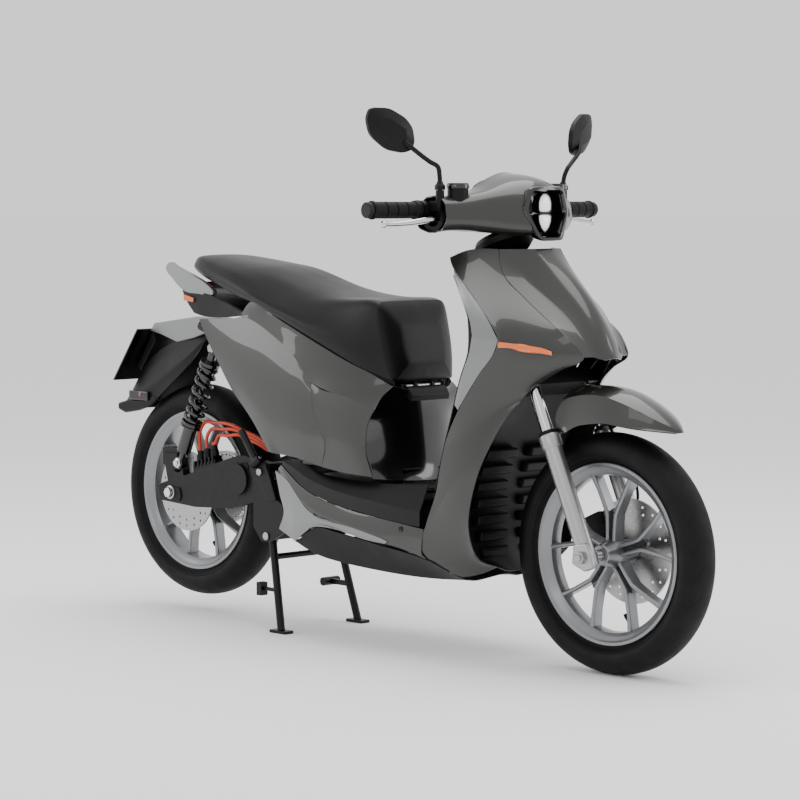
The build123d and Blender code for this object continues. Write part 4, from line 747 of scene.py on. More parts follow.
TAIL_SIDE = [
    [(-612, 101, 768), (-585, 106, 767), (-545, 111, 765), (-500, 114.5, 760), (-450, 118, 746),
     (-410, 121, 735), (-372, 123, 722)],
    [(-600, 103, 750), (-575, 108, 747), (-540, 112, 744), (-498, 115.5, 739), (-452, 119, 730),
     (-412, 122, 724), (-374, 124, 718)],
    [(-560, 110, 716), (-545, 112, 713), (-525, 114, 710), (-495, 116, 708), (-455, 119.5, 708),
     (-415, 122, 711), (-376, 125, 715)],
]
twin("tail_corner", TAIL_SIDE, "black_plastic", "chassis", (-450, 0, 740), 3.0, ("tail_panel",))
TAIL_TOP = [[(-612, 100, 768), (-612, 50, 770), (-612, 0, 771)],
            [(-545, 110, 765), (-545, 50, 768), (-545, 0, 769)],
            [(-470, 116, 752), (-470, 60, 757), (-470, 0, 758)],
            [(-400, 120, 734), (-400, 60, 740), (-400, 0, 741)],
            [(-365, 122, 722), (-365, 60, 728), (-365, 0, 729)]]
shell("tail_top", surface(full(TAIL_TOP), 5), "black_plastic", "chassis", (-450, 0, 600))
TAIL_BACK = [[(-612, 100, 768), (-618, 50, 770), (-620, 0, 771)],
             [(-598, 103, 748), (-604, 50, 748), (-606, 0, 748)],
             [(-562, 108, 718), (-566, 50, 716), (-568, 0, 716)]]
shell("tail_back", surface(full(TAIL_BACK), 5), "black_plastic", "chassis", (-450, 0, 740))
LAMP_BACK = [[(-614, 82, 782), (-624, 45, 784), (-628, 0, 785)],
             [(-613, 84, 766), (-627, 45, 766), (-632, 0, 766)],
             [(-608, 80, 748), (-620, 45, 748), (-624, 0, 748)]]
shell("tail_lamp", surface(full(LAMP_BACK), 6), "red_lens", "chassis", (-560, 0, 766), 5.0, ("red_lenses",),
      1.5)
GRIP_OUT = [(-659, 816), (-655, 825), (-646, 832), (-636, 831), (-628, 826), (-612, 820), (-565, 804),
            (-523, 788), (-500, 776), (-489, 768), (-490, 759), (-500, 757), (-540, 760), (-589, 765),
            (-609, 775), (-624, 786), (-637, 797), (-652, 808)]
for side, word in ((-1, "right"), (1, "left")):
    rail = [(x, z) for x, z, *_ in spline([(x, z) for x, z in GRIP_OUT] + [GRIP_OUT[0]], 4)[:-1]]
    plate(f"grab_rail_{word}", rail, *sideways(side, 99, 113), "silver_paint", "chassis",
          ("grab_rails",) if side < 0 else (), 4.0)

MUD_TOP = [(-566, 694), (-631, 703), (-786, 683), (-800, 664), (-763, 657), (-700, 640), (-640, 652),
           (-586, 668)]
plate("mudguard_top", MUD_TOP, -44, 44, "silver_paint", "chassis", ("rear_mudguard",), 3.0)
MUD_ROWS = []
for x, high, low, half, crown_half in ((-590, 668, 652, 40, 30), (-640, 656, 592, 52, 40),
                                       (-700, 648, 540, 62, 44), (-763, 640, 494, 66, 44),
                                       (-817, 610, 477, 66, 42), (-860, 552, 470, 64, 40),
                                       (-886, 500, 468, 60, 38)):
    MUD_ROWS.append([(x - 4, half, low), (x, half + 2, low + 0.3 * (high - low)),
                     (x, (half + crown_half) / 2, low + 0.72 * (high - low)), (x, crown_half, high),
                     (x, 0, high + 4)])
shell("mudguard_body", surface(full(MUD_ROWS), 4, hard_cols=(1, 2, 3, 5, 6, 7)), "black_plastic", "chassis",
      (-650, 0, 450), 3.5)
MUD_LIP = [(-896, 487), (-896, 472), (-870, 464), (-820, 472), (-770, 488), (-744, 506), (-764, 512),
           (-800, 498), (-850, 498)]
for side, word in ((-1, "right"), (1, "left")):
    plate(f"mudguard_lip_{word}", MUD_LIP, *sideways(side, 53, 68), "black_plastic",
          "chassis", edge=5.0)
plate("mudguard_bridge", [(-896, 488), (-896, 472), (-888, 470), (-888, 488)], -56, 56, "black_plastic",
      "chassis", edge=2.0)
for side, word in ((-1, "right"), (1, "left")):
    cuboid(f"lamp_box_{word}", (-846, min(side * 62, side * 74), 498),
           (-776, max(side * 62, side * 74), 520), "gloss_black", "chassis", edge=2.5)
    turned(f"red_spot_{word}", (-802, side * 74, 512), (0, side, 0),
           [(0, 5), (1.2, 4.6), (2, 2.5), (2.2, 0)], "red_lens", "chassis", sides=24)
NUMBER = [(-801, 668), (-893, 542), (-896, 544), (-804, 670)]
plate("blank_plate", NUMBER, -82, 82, "gloss_black", "chassis", edge=1.0)
plate("plate_holder", [(-799, 664), (-858, 576), (-846, 566), (-790, 640)], -36, 36, "black_plastic",
      "chassis", edge=2.0)

# ---------------------------------------------------------------- seat
SEAT = [
    # x, widest, bottom z, side knee (half, z), shoulder (half, z), crown z
    (-624, 34, 822, (38, 828), (30, 838), 842), (-612, 58, 816, (63, 828), (52, 842), 847),
    (-583, 76, 809, (82, 830), (70, 846), 850), (-544, 92, 799, (97, 822), (84, 840), 850),
    (-483, 110, 785, (114, 806), (98, 828), 845), (-430, 120, 771, (124, 794), (108, 818), 839),
    (-380, 127, 757, (131, 780), (112, 806), 834), (-329, 136, 748, (139, 764), (114, 792), 829),
    (-268, 140, 727, (143, 744), (112, 776), 814), (-219, 142, 710, (144, 730), (108, 766), 799),
    (-162, 142, 688, (144, 712), (106, 757), 784), (-100, 139, 663, (141, 694), (106, 756), 771),
    (-40, 132, 636, (134, 676), (106, 757), 762), (16, 122, 611, (123, 660), (106, 759), 762),
]
FRONT_RINGS = [
    [(84, 0, 580), (84, 52, 581), (82, 94, 584), (74, 103, 618), (68, 107, 650), (57, 108, 700),
     (47, 104, 752), (45, 75, 757), (45, 0, 758)],
    [(90, 0, 588), (90, 46, 589), (88, 84, 592), (82, 93, 620), (76, 97, 650), (65, 98, 698), (56, 95, 742),
     (54, 70, 747), (54, 0, 748)],
    [(98, 0, 622), (98, 30, 623), (97, 52, 626), (94, 56, 640), (90, 58, 655), (84, 58, 680), (79, 56, 700),
     (78, 40, 704), (78, 0, 705)],
]
rows = []
for x, half, low, knee, shoulder, crown in SEAT:
    rows.append([(x, 0, low - 2), (x, half * 0.55, low - 1), (x, half, low),
                 (x, knee[0] + 1, (low + knee[1]) / 2), (x, *knee),
                 (x, (knee[0] + shoulder[0]) / 2 + 1, (knee[1] + shoulder[1]) / 2), (x, *shoulder),
                 (x, shoulder[0] * 0.72, shoulder[1] + 0.7 * (crown - shoulder[1])), (x, 0, crown)])
edge_row = len(rows)
rows += FRONT_RINGS
half_grid = surface(rows, 6, hard_rows=(edge_row,), hard_cols=(2,), calm=8)
left_half = half_grid.copy()
right_half = half_grid * (1, -1, 1)
loop = np.concatenate([right_half, left_half[:, -2:0:-1]], axis=1)
r, c = loop.shape[:2]
seat_faces = grid_faces(r, c, wrap_cols=True) + [tuple(range(c)), tuple(r * c - 1 - k for k in range(c))]
seat = add("seat_cover", loop.reshape(-1, 3), seat_faces, "seat_vinyl", "seat", ("seat_cushion",), 60)
soften = seat.modifiers.new("soft", "SUBSURF")
soften.levels = soften.render_levels = 1

# ---------------------------------------------------------------- handlebar
COVER_RING = {
    0: [(290, 908), (268, 925), (262, 950), (280, 998), (330, 1037), (386, 1034), (446, 1011), (466, 955),
        (470, 914), (450, 898), (384, 904), (290, 908)],
    60: [(290, 909), (268, 925), (262, 950), (280, 992), (330, 1022), (378, 1021), (436, 1002), (452, 955),
         (456, 918), (440, 904), (380, 907), (290, 909)],
    110: [(290, 911), (268, 925), (263, 946), (276, 976), (318, 993), (360, 996), (402, 989), (412, 955),
          (413, 928), (398, 913), (362, 910), (290, 911)],
    150: [(288, 912), (268, 922), (263, 943), (272, 970), (304, 986), (335, 989), (367, 975), (374, 948),
          (375, 932), (360, 918), (336, 914), (288, 912)],
    194: [(284, 912), (264, 921), (259, 942), (265, 966), (288, 984), (316, 987), (341, 972), (346, 950),
          (347, 934), (336, 917), (318, 911), (284, 912)],
}
stations = [[(x, -s, z) for x, z in COVER_RING[s]] for s in sorted(COVER_RING, reverse=True)]
stations += [[(x, s, z) for x, z in COVER_RING[s]] for s in sorted(COVER_RING)[1:]]
stations = np.array(stations, float)
front = surface(stations[:, 4:11], 7, hard_cols=(3,), calm=20)
back = surface(np.concatenate([stations[:, 10:11], stations[:, :5]], axis=1), 7)
cover = shell("bar_cover", front, "painted_body", "steering", (360, 0, 940), 3.0, ("handlebar_cover",))
shell("bar_cover_back", back, "black_plastic", "steering", (360, 0, 940), 3.0)


def cutter(outline, x0, x1):
    """A hidden block, from an outline in Y and Z, that a cut is made with."""
    points = [(x0, y, z) for y, z in outline] + [(x1, y, z) for y, z in outline]
    k = len(outline)
    work = bmesh.new()
    verts = [work.verts.new([c * MM for c in p]) for p in points]
    work.faces.new(verts[:k])
    work.faces.new(verts[:k - 1:-1])
    for i in range(k):
        work.faces.new((verts[i], verts[(i + 1) % k], verts[k + (i + 1) % k], verts[k + i]))
    bmesh.ops.recalc_face_normals(work, faces=work.faces)
    mesh = bpy.data.meshes.new("cutter")
    work.to_mesh(mesh)
    work.free()
    block = bpy.data.objects.new("cutter", mesh)
    bpy.context.scene.collection.objects.link(block)
    return block


def cut(piece, block):
    """Take the block out of the piece for good."""
    m = piece.modifiers.new("cut", "BOOLEAN")
    m.object, m.operation, m.solver = block, "DIFFERENCE", "EXACT"
    piece.modifiers.move(len(piece.modifiers) - 1, 0)
    graph = bpy.context.evaluated_depsgraph_get()
    mesh = bpy.data.meshes.new_from_object(piece.evaluated_get(graph))
    piece.modifiers.clear()
    piece.data = mesh
    bpy.data.objects.remove(block)


def softened(outline, steps=5, pull=0.18):
    """The outline with its corners rounded."""
    out = []
    k = len(outline)
    for i in range(k):
        a, b, c = (np.array(outline[(i + d) % k], float) for d in (-1, 0, 1))
        p, q = b + (a - b) * pull, b + (c - b) * pull
        for t in np.linspace(0, 1, steps):
            out.append(tuple((1 - t) ** 2 * p + 2 * t * (1 - t) * b + t * t * q))
    return out


LAMP_HOLE = [(-48, 1001), (48, 1001), (64, 955), (33, 897), (-33, 897), (-64, 955)]
rim = softened(LAMP_HOLE, 6)
cut(cover, cutter(rim, 405, 520))


def scaled(outline, factor, centre=(0, 948)):
    return [(centre[0] + (y - centre[0]) * factor, centre[1] + (z - centre[1]) * factor) for y, z in outline]


def bezel_x(y, z):
    """Where the lamp rim stands on the cover's face."""
    return 462 - 0.0040 * y * y - 0.12 * max(z - 950, 0)


levels = [(1.03, -14), (1.09, 2), (1.07, 7), (0.96, 7), (0.91, 2), (0.83, -26), (0.74, -44)]
points, k = [], len(rim)
for factor, out in levels:
    points += [(bezel_x(y, z) + out, y, z) for y, z in scaled(rim, factor)]
faces = grid_faces(len(levels), k, wrap_cols=True) + [tuple(len(levels) * k - 1 - i for i in range(k))]
add("lamp_bezel", points, faces, "gloss_black", "steering", ("headlamp",), 40)
ARCH = [(-17, 953), (17, 953), (18, 972), (13, 984), (5, 990), (-5, 990), (-13, 984), (-18, 972)]
SHIELD_LAMP = [(-18, 947), (18, 947), (17, 932), (9, 918), (0, 911), (-9, 918), (-17, 932)]
for word, shape in (("upper", ARCH), ("lower", SHIELD_LAMP)):
    shape = softened(shape, 4, 0.3)
    mid = (0, sum(z for _, z in shape) / len(shape))
    points = []
    for factor, x in ((1.0, 430), (1.0, 444), (0.9, 447.5), (0.5, 449.5)):
        points += [(x, y, z) for y, z in scaled(shape, factor, mid)]
    k = len(shape)
    faces = grid_faces(4, k, wrap_cols=True) + [tuple(4 * k - 1 - i for i in range(k))]
    add(f"lamp_{word}", points, faces, "lamp_glass", "steering", smooth=60)
    points = []
    for factor, x in ((1.0, 428), (1.0, 446), (1.13, 446), (1.13, 428)):
        points += [(x, y, z) for y, z in scaled(shape, factor, mid)]
    add(f"lamp_{word}_surround", points, grid_faces(4, k, wrap_rows=True, wrap_cols=True), "gloss_black",
        "steering")

turned("bar_boot", FOOT, UP, [(688, 50), (700, 62), (712, 66), (722, 60), (724, 40)], "black_plastic",
       "steering", ("neck_boot",), 64, smooth=25)
turned("display_ring", (296, 0, 1004), (-0.35, 0, 0.94), [(0, 44), (10, 44), (12, 42), (12, 37), (9, 36),
                                                          (9, 0)],
       "gloss_black", "steering", sides=64)


def bar_point(side, reach):
    middle = FOOT + UP * 786
    back = max(reach - 60, 0) * math.tan(math.radians(6))
    return Vector((middle.x - back, side * reach, middle.z))


for side, word, body, node_name in ((-1, "right", "throttle", "throttle_grip"),
                                    (1, "left", "steering", "left_grip")):
    out = bar_point(side, 337.5)
    along = (bar_point(side, 210.5) - out).normalized()
    profile = [(0, 11.2), (0, 18.5), (2, 19.5), (6, 19.5), (8, 17.4)]
    for groove in (34, 61, 88):
        profile += [(groove - 1.6, 17.6), (groove - 0.8, 15.6), (groove + 0.8, 15.6), (groove + 1.6, 17.6)]
    profile += [(112, 17.4), (114, 19.5), (124, 21), (126.8, 20), (126.8, 11.2)]
    turned(f"grip_{word}", out, along, profile, "rubber", body, (node_name,), 48, closed=True)
    turned(f"bar_end_{word}", bar_point(side, 350.2), along, [(0, 12), (0, 15), (1.5, 16.6), (11.5, 16.6),
                                                              (12, 15)],
           "cast_grey", "steering", sides=48)
    hub = Vector((322.9, side * 165, 937))
    knee = Vector((316, side * 196, 938))
    mid_blade = Vector((308, side * 250, 932))
    tip = Vector((293, side * 322, 928))
    tube(f"lever_blade_{word}", [hub, knee, mid_blade, tip - Vector((-2, side * 12, 0)), tip],
         [8, 7, 6.4, 4.6, 4.4],
                 "chrome", f"brake_{word}", (f"brake_lever_{word}",), 20)
    turned(f"lever_ball_{word}", tip, (0, side, 0), [(7.6 * -math.cos(a), max(7.6 * math.sin(a), 0)) for a in
                                                    np.linspace(0, math.pi, 17)], "chrome", f"brake_{word}",
                                                    sides=32)
    turned(f"lever_eye_{word}", hub - Vector((0, 0, 5)), (0, 0, 1),
           [(0, 4.3), (0, 9.5), (10, 9.5), (10, 4.3)], "chrome", f"brake_{word}", sides=32, closed=True)
    top = Vector((338, side * 151, 1001))
    turned(f"reservoir_lid_{word}", top, (0, 0, 1), [(0, 22.4), (1, 24), (8, 24), (11, 22.5), (12, 18),
                                                     (12, 0)],
           "gloss_black", "steering", sides=48)
    turned(f"bar_cap_{word}", (300, side * 183, 942), (0, side, 0), [(0, 20), (0, 33), (4, 31), (4, 20)],
           "rubber", "steering", sides=40, closed=True)

STEM = [(324, 190, 984), (324, 190, 1010), (325.5, 193, 1030), (328, 200, 1046), (322, 218, 1057),
        (308, 261, 1088), (300, 270, 1098)]
HEAD_LINE = [(56, 23), (49, 43), (36, 47), (3, 46), (-35, 26), (-51, 6), (-56, -22), (-50, -40), (-30, -47),
             (10, -40), (48, -10)]
for side, word in ((-1, "right"), (1, "left")):
    outward = Vector((-0.306, 0.952 * side, 0))
    forward = Vector((0.952, 0.306 * side, 0))
    middle = Vector((281, 293 * side, 1121))
    tube(f"mirror_stem_{word}", [(x, side * s, z) for x, s, z in STEM], 5, "black_plastic", f"mirror_{word}",
         (f"mirror_{word}",), 20)
    turned(f"mirror_nut_{word}", (324, side * 190, 998.5), (0, 0, 1),
           [(0, 10), (1, 11), (9, 11), (14, 7), (18, 6)], "black_plastic", f"mirror_{word}", sides=6)
    work = bmesh.new()
    shape = softened(HEAD_LINE, 4, 0.3)
    body_line = [(u, v, -5) for u, v in shape] + [(u * 0.99, v * 0.99, 5) for u, v in shape]
    body_line += [(34, 22, 12), (6, 24, 14), (-30, 2, 15), (-34, -24, 13), (8, -16, 16), (30, -4, 14)]
    for u, v, d in body_line:
        work.verts.new((middle + outward * u + forward * d + Vector((0, 0, v))) * MM)
    bmesh.ops.convex_hull(work, input=work.verts)
    bmesh.ops.dissolve_limit(work, angle_limit=math.radians(2), verts=work.verts, edges=work.edges)
    mesh = bpy.data.meshes.new(f"mirror_head_{word}")
    work.to_mesh(mesh)
    work.free()
    head = bpy.data.objects.new(mesh.name, mesh)
    bpy.context.scene.collection.objects.link(head)
    rounded(dress(head, "black_plastic", f"mirror_{word}", smooth=10), 0.6, 8, 2)
    plate(f"mirror_glass_{word}", [(u * 0.93, v * 0.92) for u, v in shape], 5.6, 4.2, "mirror_glass",
                  f"mirror_{word}", edge=0.4,
                  frame_of=lambda u, v, d: middle + outward * u - forward * d + Vector((0, 0, v)))

# ---------------------------------------------------------------- front fender and fork
FENDER = [
    [(548, 73, 500), (547, 76, 532), (556, 66, 568), (570, 36, 592), (576, 0, 598)],
    [(566, 77, 498), (572, 77, 538), (590, 64, 578), (604, 34, 597), (610, 0, 602)],
    [(603, 76, 515), (612, 75, 548), (634, 61, 586), (642, 32, 601), (645, 0, 604)],
    [(640, 75, 522), (652, 71, 548), (672, 60, 580), (682, 31, 593), (686, 0, 596)],
    [(674, 73, 525), (686, 68, 546), (706, 55, 568), (718, 28, 580), (722, 0, 583)],
    [(712, 69, 521), (722, 62, 538), (740, 48, 556), (754, 24, 563), (760, 0, 565)],
    [(750, 60, 517), (758, 53, 528), (772, 40, 541), (784, 20, 546), (790, 0, 547)],
    [(786, 42, 514), (791, 36, 520), (798, 27, 527), (804, 14, 530), (808, 0, 531)],
    [(812, 18, 511), (814, 15, 513), (817, 11, 516), (819, 6, 517), (820, 0, 517)],
    [(821, 5, 509.5), (822, 4, 510), (823, 3, 511), (823.5, 2, 511.5), (824, 0, 512)],
]
shell("fender", surface(full(FENDER), 6, hard_cols=(2, 6)), "painted_body", "steering", (645, 0, 251), 3.0,
      ("front_fender",))


def copied(name, finish, edge=0.8, angle=28.0, parts=None):
    """The CAD node with its sharp edges rounded."""
    source = frame["nodes"][name]
    mesh = source.data.copy()
    work = bmesh.new()
    work.from_mesh(mesh)
    bmesh.ops.remove_doubles(work, verts=work.verts, dist=2e-6)
    bmesh.ops.dissolve_limit(work, angle_limit=math.radians(0.6), verts=work.verts, edges=work.edges,
                             delimit={"NORMAL"})
    work.to_mesh(mesh)
    work.free()
    if mesh.has_custom_normals:
        for layer in [a for a in mesh.attributes if a.name == "custom_normal"]:
            mesh.attributes.remove(layer)
    piece = bpy.data.objects.new(f"{name}_piece", mesh)
    bpy.context.scene.collection.objects.link(piece)
    dress(piece, finish, BODY_OF[name], (name,), angle)
    if edge:
        rounded(piece, edge, angle + 2)
    return piece


PLAIN = {
    "frame": ("frame_black", 1.0), "battery_pack": ("battery_case", 3.0), "controller": ("cast_grey", 0.8),
    "storage_tub": ("black_plastic", 0), "body_fasteners": ("steel", 0.8),
    "steering_stem": ("frame_black", 1.5), "stanchions": ("chrome", 0.8), "handlebar": ("frame_black", 0),
    "control_pods": ("black_plastic", 1.5), "fork_sliders": ("fork_silver", 1.0),
    "front_axle": ("steel", 0.8), "front_caliper": ("cast_grey", 3.0), "front_disc": ("steel", 0),
    "seat_pan": ("black_plastic", 0), "swingarm": ("cast_grey", 3.5), "drive_motor": ("cast_grey", 2.0),
    "rear_caliper": ("cast_grey", 4.0), "chain": ("steel", 0), "rear_disc": ("steel", 0),
    "rear_sprocket": ("steel", 0), "drive_sprocket": ("steel", 0), "shock_uppers": ("gloss_black", 0.8),
    "shock_lowers": ("gloss_black", 1.0), "centre_stand": ("frame_black", 1.0),
    "peg_right": ("cast_grey", 1.2), "peg_left": ("cast_grey", 1.2), "start_button": ("black_plastic", 0.6),
    "horn_button": ("black_plastic", 0.6)}
for name, (finish, edge) in PLAIN.items():
    copied(name, finish, edge)

for side, word in ((-1, "right"), (1, "left")):
    y = side * 85
    turned(f"slider_collar_{word}", steer(236, y, 30), UP, [(0, 19.2), (3, 22), (26, 22.6), (29, 21.5),
                                                            (30.5, 14)],
           "fork_silver", "fork_lower", sides=48)
    turned(f"dust_seal_{word}", steer(266, y, 30), UP, [(0, 20), (6, 19), (9, 15), (9, 13.6)], "rubber",
           "fork_lower", sides=48)
    rounded(plate(f"axle_lug_{word}", [(622, 276), (618, 236), (652, 222), (676, 232), (668, 262),
                                       (652, 282)],
                  *sideways(side, 90, 105), "fork_silver", "fork_lower", edge=0), 4, 30, 3)
    plate(f"axle_nut_{word}", hexagon(645, 251, 14), *sideways(side, 105, 114), "steel", "fork_lower",
          edge=1.5)
    turned(f"axle_stud_{word}", (645, side * 113, 251), (0, side, 0), [(0, 8), (4, 8), (5, 7), (5, 0)],
           "steel", "fork_lower", sides=32)
tube("brake_hose", [(648, 66, 330), (640, 74, 380), (600, 66, 450), (562, 62, 530), (520, 58, 590),
                    (470, 40, 650)], 3.2,
     "rubber", "steering", sides=12)

# ---------------------------------------------------------------- wheels
RIM_R, TYRE_R = 189.0, 251.0
FRONT_AXLE, REAR_AXLE = (645, 251), (-645, 290.5)


def wheel(word, centre, width, right, left, body, node_name):
    half, well = width / 2, RIM_R - 19
    lip = [(-half, RIM_R - 1), (-half + 1, RIM_R + 0.4), (-half + 4, RIM_R + 0.4), (-half + 5.5, RIM_R - 3),
           (-half + 9, well + 6), (-half + 18, well + 1), (half - 18, well + 1), (half - 9, well + 6),
           (half - 5.5, RIM_R - 3), (half - 4, RIM_R + 0.4), (half - 1, RIM_R + 0.4), (half, RIM_R - 1),
           (half - 1, RIM_R - 7), (half - 5, RIM_R - 11), (half - 7, RIM_R - 16), (half - 15, well - 6),
           (6, well - 8), (-6, well - 8), (-half + 15, well - 6), (-half + 7, RIM_R - 16),
           (-half + 5, RIM_R - 11), (-half + 1, RIM_R - 7)]
    centre = Vector((centre[0], 0, centre[1]))
    turned(f"{word}_rim_barrel", centre, (0, 1, 0), lip, "wheel_silver", body, (node_name,), 160, closed=True)
    parts = [turned(f"{word}_hub", centre, (0, 1, 0),
                    [(right, 7.6), (right, 20), (right + 2, 22), (right + 10, 23), (-14, 30), (14, 30),
                     (left - 10, 25), (left - 2, 24), (left, 22),
                     (left, 7.6)], "wheel_silver", body, sides=64, closed=True)]
    for k in range(5):
        middle = 2 * math.pi * k / 5 + math.pi / 2

        def spot(radius, turn, depth):
            a = middle + turn
            return centre + Vector((radius * math.cos(a), depth, radius * math.sin(a)))

        for hand in (-1, 1):
            run = []
            for radius, across, thick, deep in ((24, 9, 4.5, 14), (60, 9.5, 4.5, 13.5), (82, 11, 5.0, 13),
                                                (96, 17, 5.2, 12.5), (132, 34.5, 5.0, 12),
                                                (well - 5, 53, 5.8, 13)):
                turn = math.atan2(across, radius) * hand
                run.append((radius, turn, thick, deep))
            points = []
            for radius, turn, thick, deep in run:
                for u, d in ((-1, -1), (-1, 1), (-0.45, 1.22), (0.45, 1.22), (1, 1), (1, -1), (0.45, -1.22),
                             (-0.45, -1.22)):
                    p = spot(radius, turn, d * deep)
                    tangent = Vector((-math.sin(middle + turn), 0, math.cos(middle + turn)))
                    points.append(p + tangent * (u * thick))
            faces = grid_faces(len(run), 8, wrap_cols=True) + [tuple(range(8)),
                                                               tuple(len(points) - 1 - i for i in range(8))]
            rounded(add(f"{word}_spoke_{k}_{'ab'[hand > 0]}", points, faces, "wheel_silver", body,
                        smooth=25), 1.2, 20, 3)
        # A gloss black sheet set into the slot between each spoke's two arms: painted shade standing in for
        # the dark slot.
        slot_shade = [spot(22, -0.3, 0), spot(22, 0.3, 0), spot(88, 0.12, 0), spot(95, 0.0, 0), spot(88, -0.12, 0)]
        points = [p + Vector((0, d, 0)) for d in (-5, 5) for p in slot_shade]
        faces = [(0, 1, 2, 3, 4), (9, 8, 7, 6, 5)] + [(i, (i + 1) % 5, 5 + (i + 1) % 5,
                                                       5 + i) for i in range(5)]
        add(f"{word}_web_{k}", points, faces, "gloss_black", body)
    a = math.pi * 1.5 + 0.31
    foot = centre + Vector((math.cos(a), 0, math.sin(a))) * (well - 8)
    inward = (centre - foot).normalized()
    turned(f"{word}_valve", foot, inward + Vector((0, -0.35, 0)),
           [(0, 6), (4, 5), (8, 4), (26, 3.6), (27, 4.4), (36, 4.4),
                                                                   (37, 3.6), (37, 0)], "rubber", body,
                                                                   sides=24)


def tyre(word, centre, width, rim_width, body, node_name):
    half, bead = width / 2, rim_width / 2 - 5.6
    outer = [(-bead, RIM_R - 3), (-bead - 3, RIM_R + 4), (-half + 4, RIM_R + 13), (-half, RIM_R + 25),
             (-half + 1.5, RIM_R + 36), (-half * 0.84, TYRE_R - 16), (-half * 0.58, TYRE_R - 6.5),
             (-half * 0.3, TYRE_R - 1.6), (0, TYRE_R)]
    outer += [(-y, r) for y, r in outer[-2::-1]]
    outer = spline(outer, 5)
    inner = [(bead - 8, RIM_R - 6), (half - 9, RIM_R + 24), (0, TYRE_R - 10), (-half + 9, RIM_R + 24),
             (-bead + 8, RIM_R - 6)]
    profile = [tuple(p) for p in outer] + inner
    piece = turned(f"{word}_tyre_cover", (0, 0, 0), (0, 1, 0), profile, "tyre", body, (node_name,), 192,
                   closed=True, smooth=40)
    piece.location = Vector((centre[0], 0, centre[1])) * MM
    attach(piece, body)
    for side in (-1, 1):
        ring = [(side * (half - 3.4), RIM_R + 13), (side * (half - 1.6), RIM_R + 15),
                (side * (half - 2.6), RIM_R + 17)]
        turned(f"{word}_bead_line_{'r' if side < 0 else 'l'}", (centre[0], 0, centre[1]), (0, 1, 0), ring,
               "tyre", body, sides=160, closed=True)


wheel("front", FRONT_AXLE, 59, -46, 50, "front_wheel", "front_rim")
wheel("rear", REAR_AXLE, 77, -58, 62, "rear_wheel", "rear_rim")
tyre("front", FRONT_AXLE, 88, 59, "front_wheel", "front_tyre")
tyre("rear", REAR_AXLE, 98, 77, "rear_wheel", "rear_tyre")

# ---------------------------------------------------------------- rear running gear
SHOCK_FOOT = Vector((-622, 0, 361))
SHOCK_RUN = (Vector((-497, 0, 636)) - SHOCK_FOOT).normalized()
for side, word in ((-1, "right"), (1, "left")):
    start = SHOCK_FOOT + Vector((0, side * 101, 0))
    one = SHOCK_RUN.orthogonal().normalized()
    two = SHOCK_RUN.cross(one)
    helix = []
    turns, low, high = 6.5, 113.0, 256.0
    count = int(turns * 20)
    for k in range(count + 1):
        t = k / count
        a = 2 * math.pi * turns * t * side
        ease = t - 0.035 * math.sin(2 * math.pi * t)
        helix.append(start + SHOCK_RUN * (low + (high - low) * ease)
                     + (one * math.cos(a) + two * math.sin(a)) * 20.5)
    coil = tube(f"coil_{word}", helix, 4.4, "gloss_black", "shock_upper",
                ("shock_springs",) if side < 0 else (), 14, 1)
    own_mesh(coil)
    turned(f"shock_sleeve_{word}", start, SHOCK_RUN, [(112, 6.5), (112, 11), (168, 11), (170, 6.5)],
           "gloss_black", "shock_lower", sides=40)
    turned(f"shock_shroud_{word}", start, SHOCK_RUN, [(206, 12), (206, 14.5), (252, 15), (256, 15),
                                                      (256, 12)],
           "gloss_black", "shock_upper", sides=40, closed=True)
    for at in (96, 104):
        turned(f"preload_{word}_{at}", start, SHOCK_RUN, [(at, 17), (at, 25.5), (at + 4, 25.5), (at + 6, 22)],
               "gloss_black", "shock_lower", sides=12)
    turned(f"shock_bolt_{word}", start + Vector((0, side * 7, 0)), (0, side, 0),
           [(0, 12), (4, 12), (5, 10), (5, 8), (9, 8), (10, 7), (10, 0)], "chrome", "swingarm", sides=6)
    turned(f"shock_cap_{word}", start + SHOCK_RUN * 302 + Vector((0, side * 6, 0)), (0, side, 0),
           [(0, 12), (6, 12), (8, 10), (8, 0)], "steel", "chassis", sides=6)

TERMINALS = [(-559, 364), (-535, 371), (-510, 379)]
CABLE_ENDS = [(-388, 426), (-390, 434), (-394, 442)]
for side, word in ((-1, "right"), (1, "left")):
    for k, (x, z) in enumerate(TERMINALS):
        end_x, end_z = CABLE_ENDS[2 - k]
        top = 462 - 14 * k
        near = -90
        route = [(x, near, z + 12), (x - 4, near, z + 34), (x - 3, near, top - 22),
                 (x + 12, near + 1, top - 3), (x + 42, near + 4, top - 1),
                 ((x + end_x) / 2 + 24, near + 7, (top + end_z) / 2 + 5),
                 (end_x - 30, near + 12, end_z + 4), (end_x + 4, near + 18, end_z - 6),
                 (end_x + 40, near + 24, end_z - 22)]
        cable = tube(f"cable_{word}_{k}", [(px, py * -side, pz) for px, py, pz in route], 4.2,
                     "orange_cable", "swingarm", ("motor_cables",) if side < 0 and k == 0 else (), 16, 8)
        cable.parent = None
        del cable["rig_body"]
        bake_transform(cable, "swingarm", "chassis", start=(-0.52, 0, 0.45), end=(-0.38, 0, 0.43))
        turned(f"terminal_{word}_{k}", (x, side * 90, z + 4), (-0.06, 0, 1),
               [(0, 10), (14, 10), (15, 8.4), (24, 7.6),
                                                                            (25, 5)], "black_plastic",
                                                                            "swingarm", sides=32)
    for k in range(6):
        x = -572 + 13 * k
        cuboid(f"terminal_rib_{word}_{k}", (x, min(side * 76, side * 104), 352 + 3.4 * k),
               (x + 6, max(side * 76, side * 104), 368 + 3.4 * k), "black_plastic", "swingarm", edge=1.0)

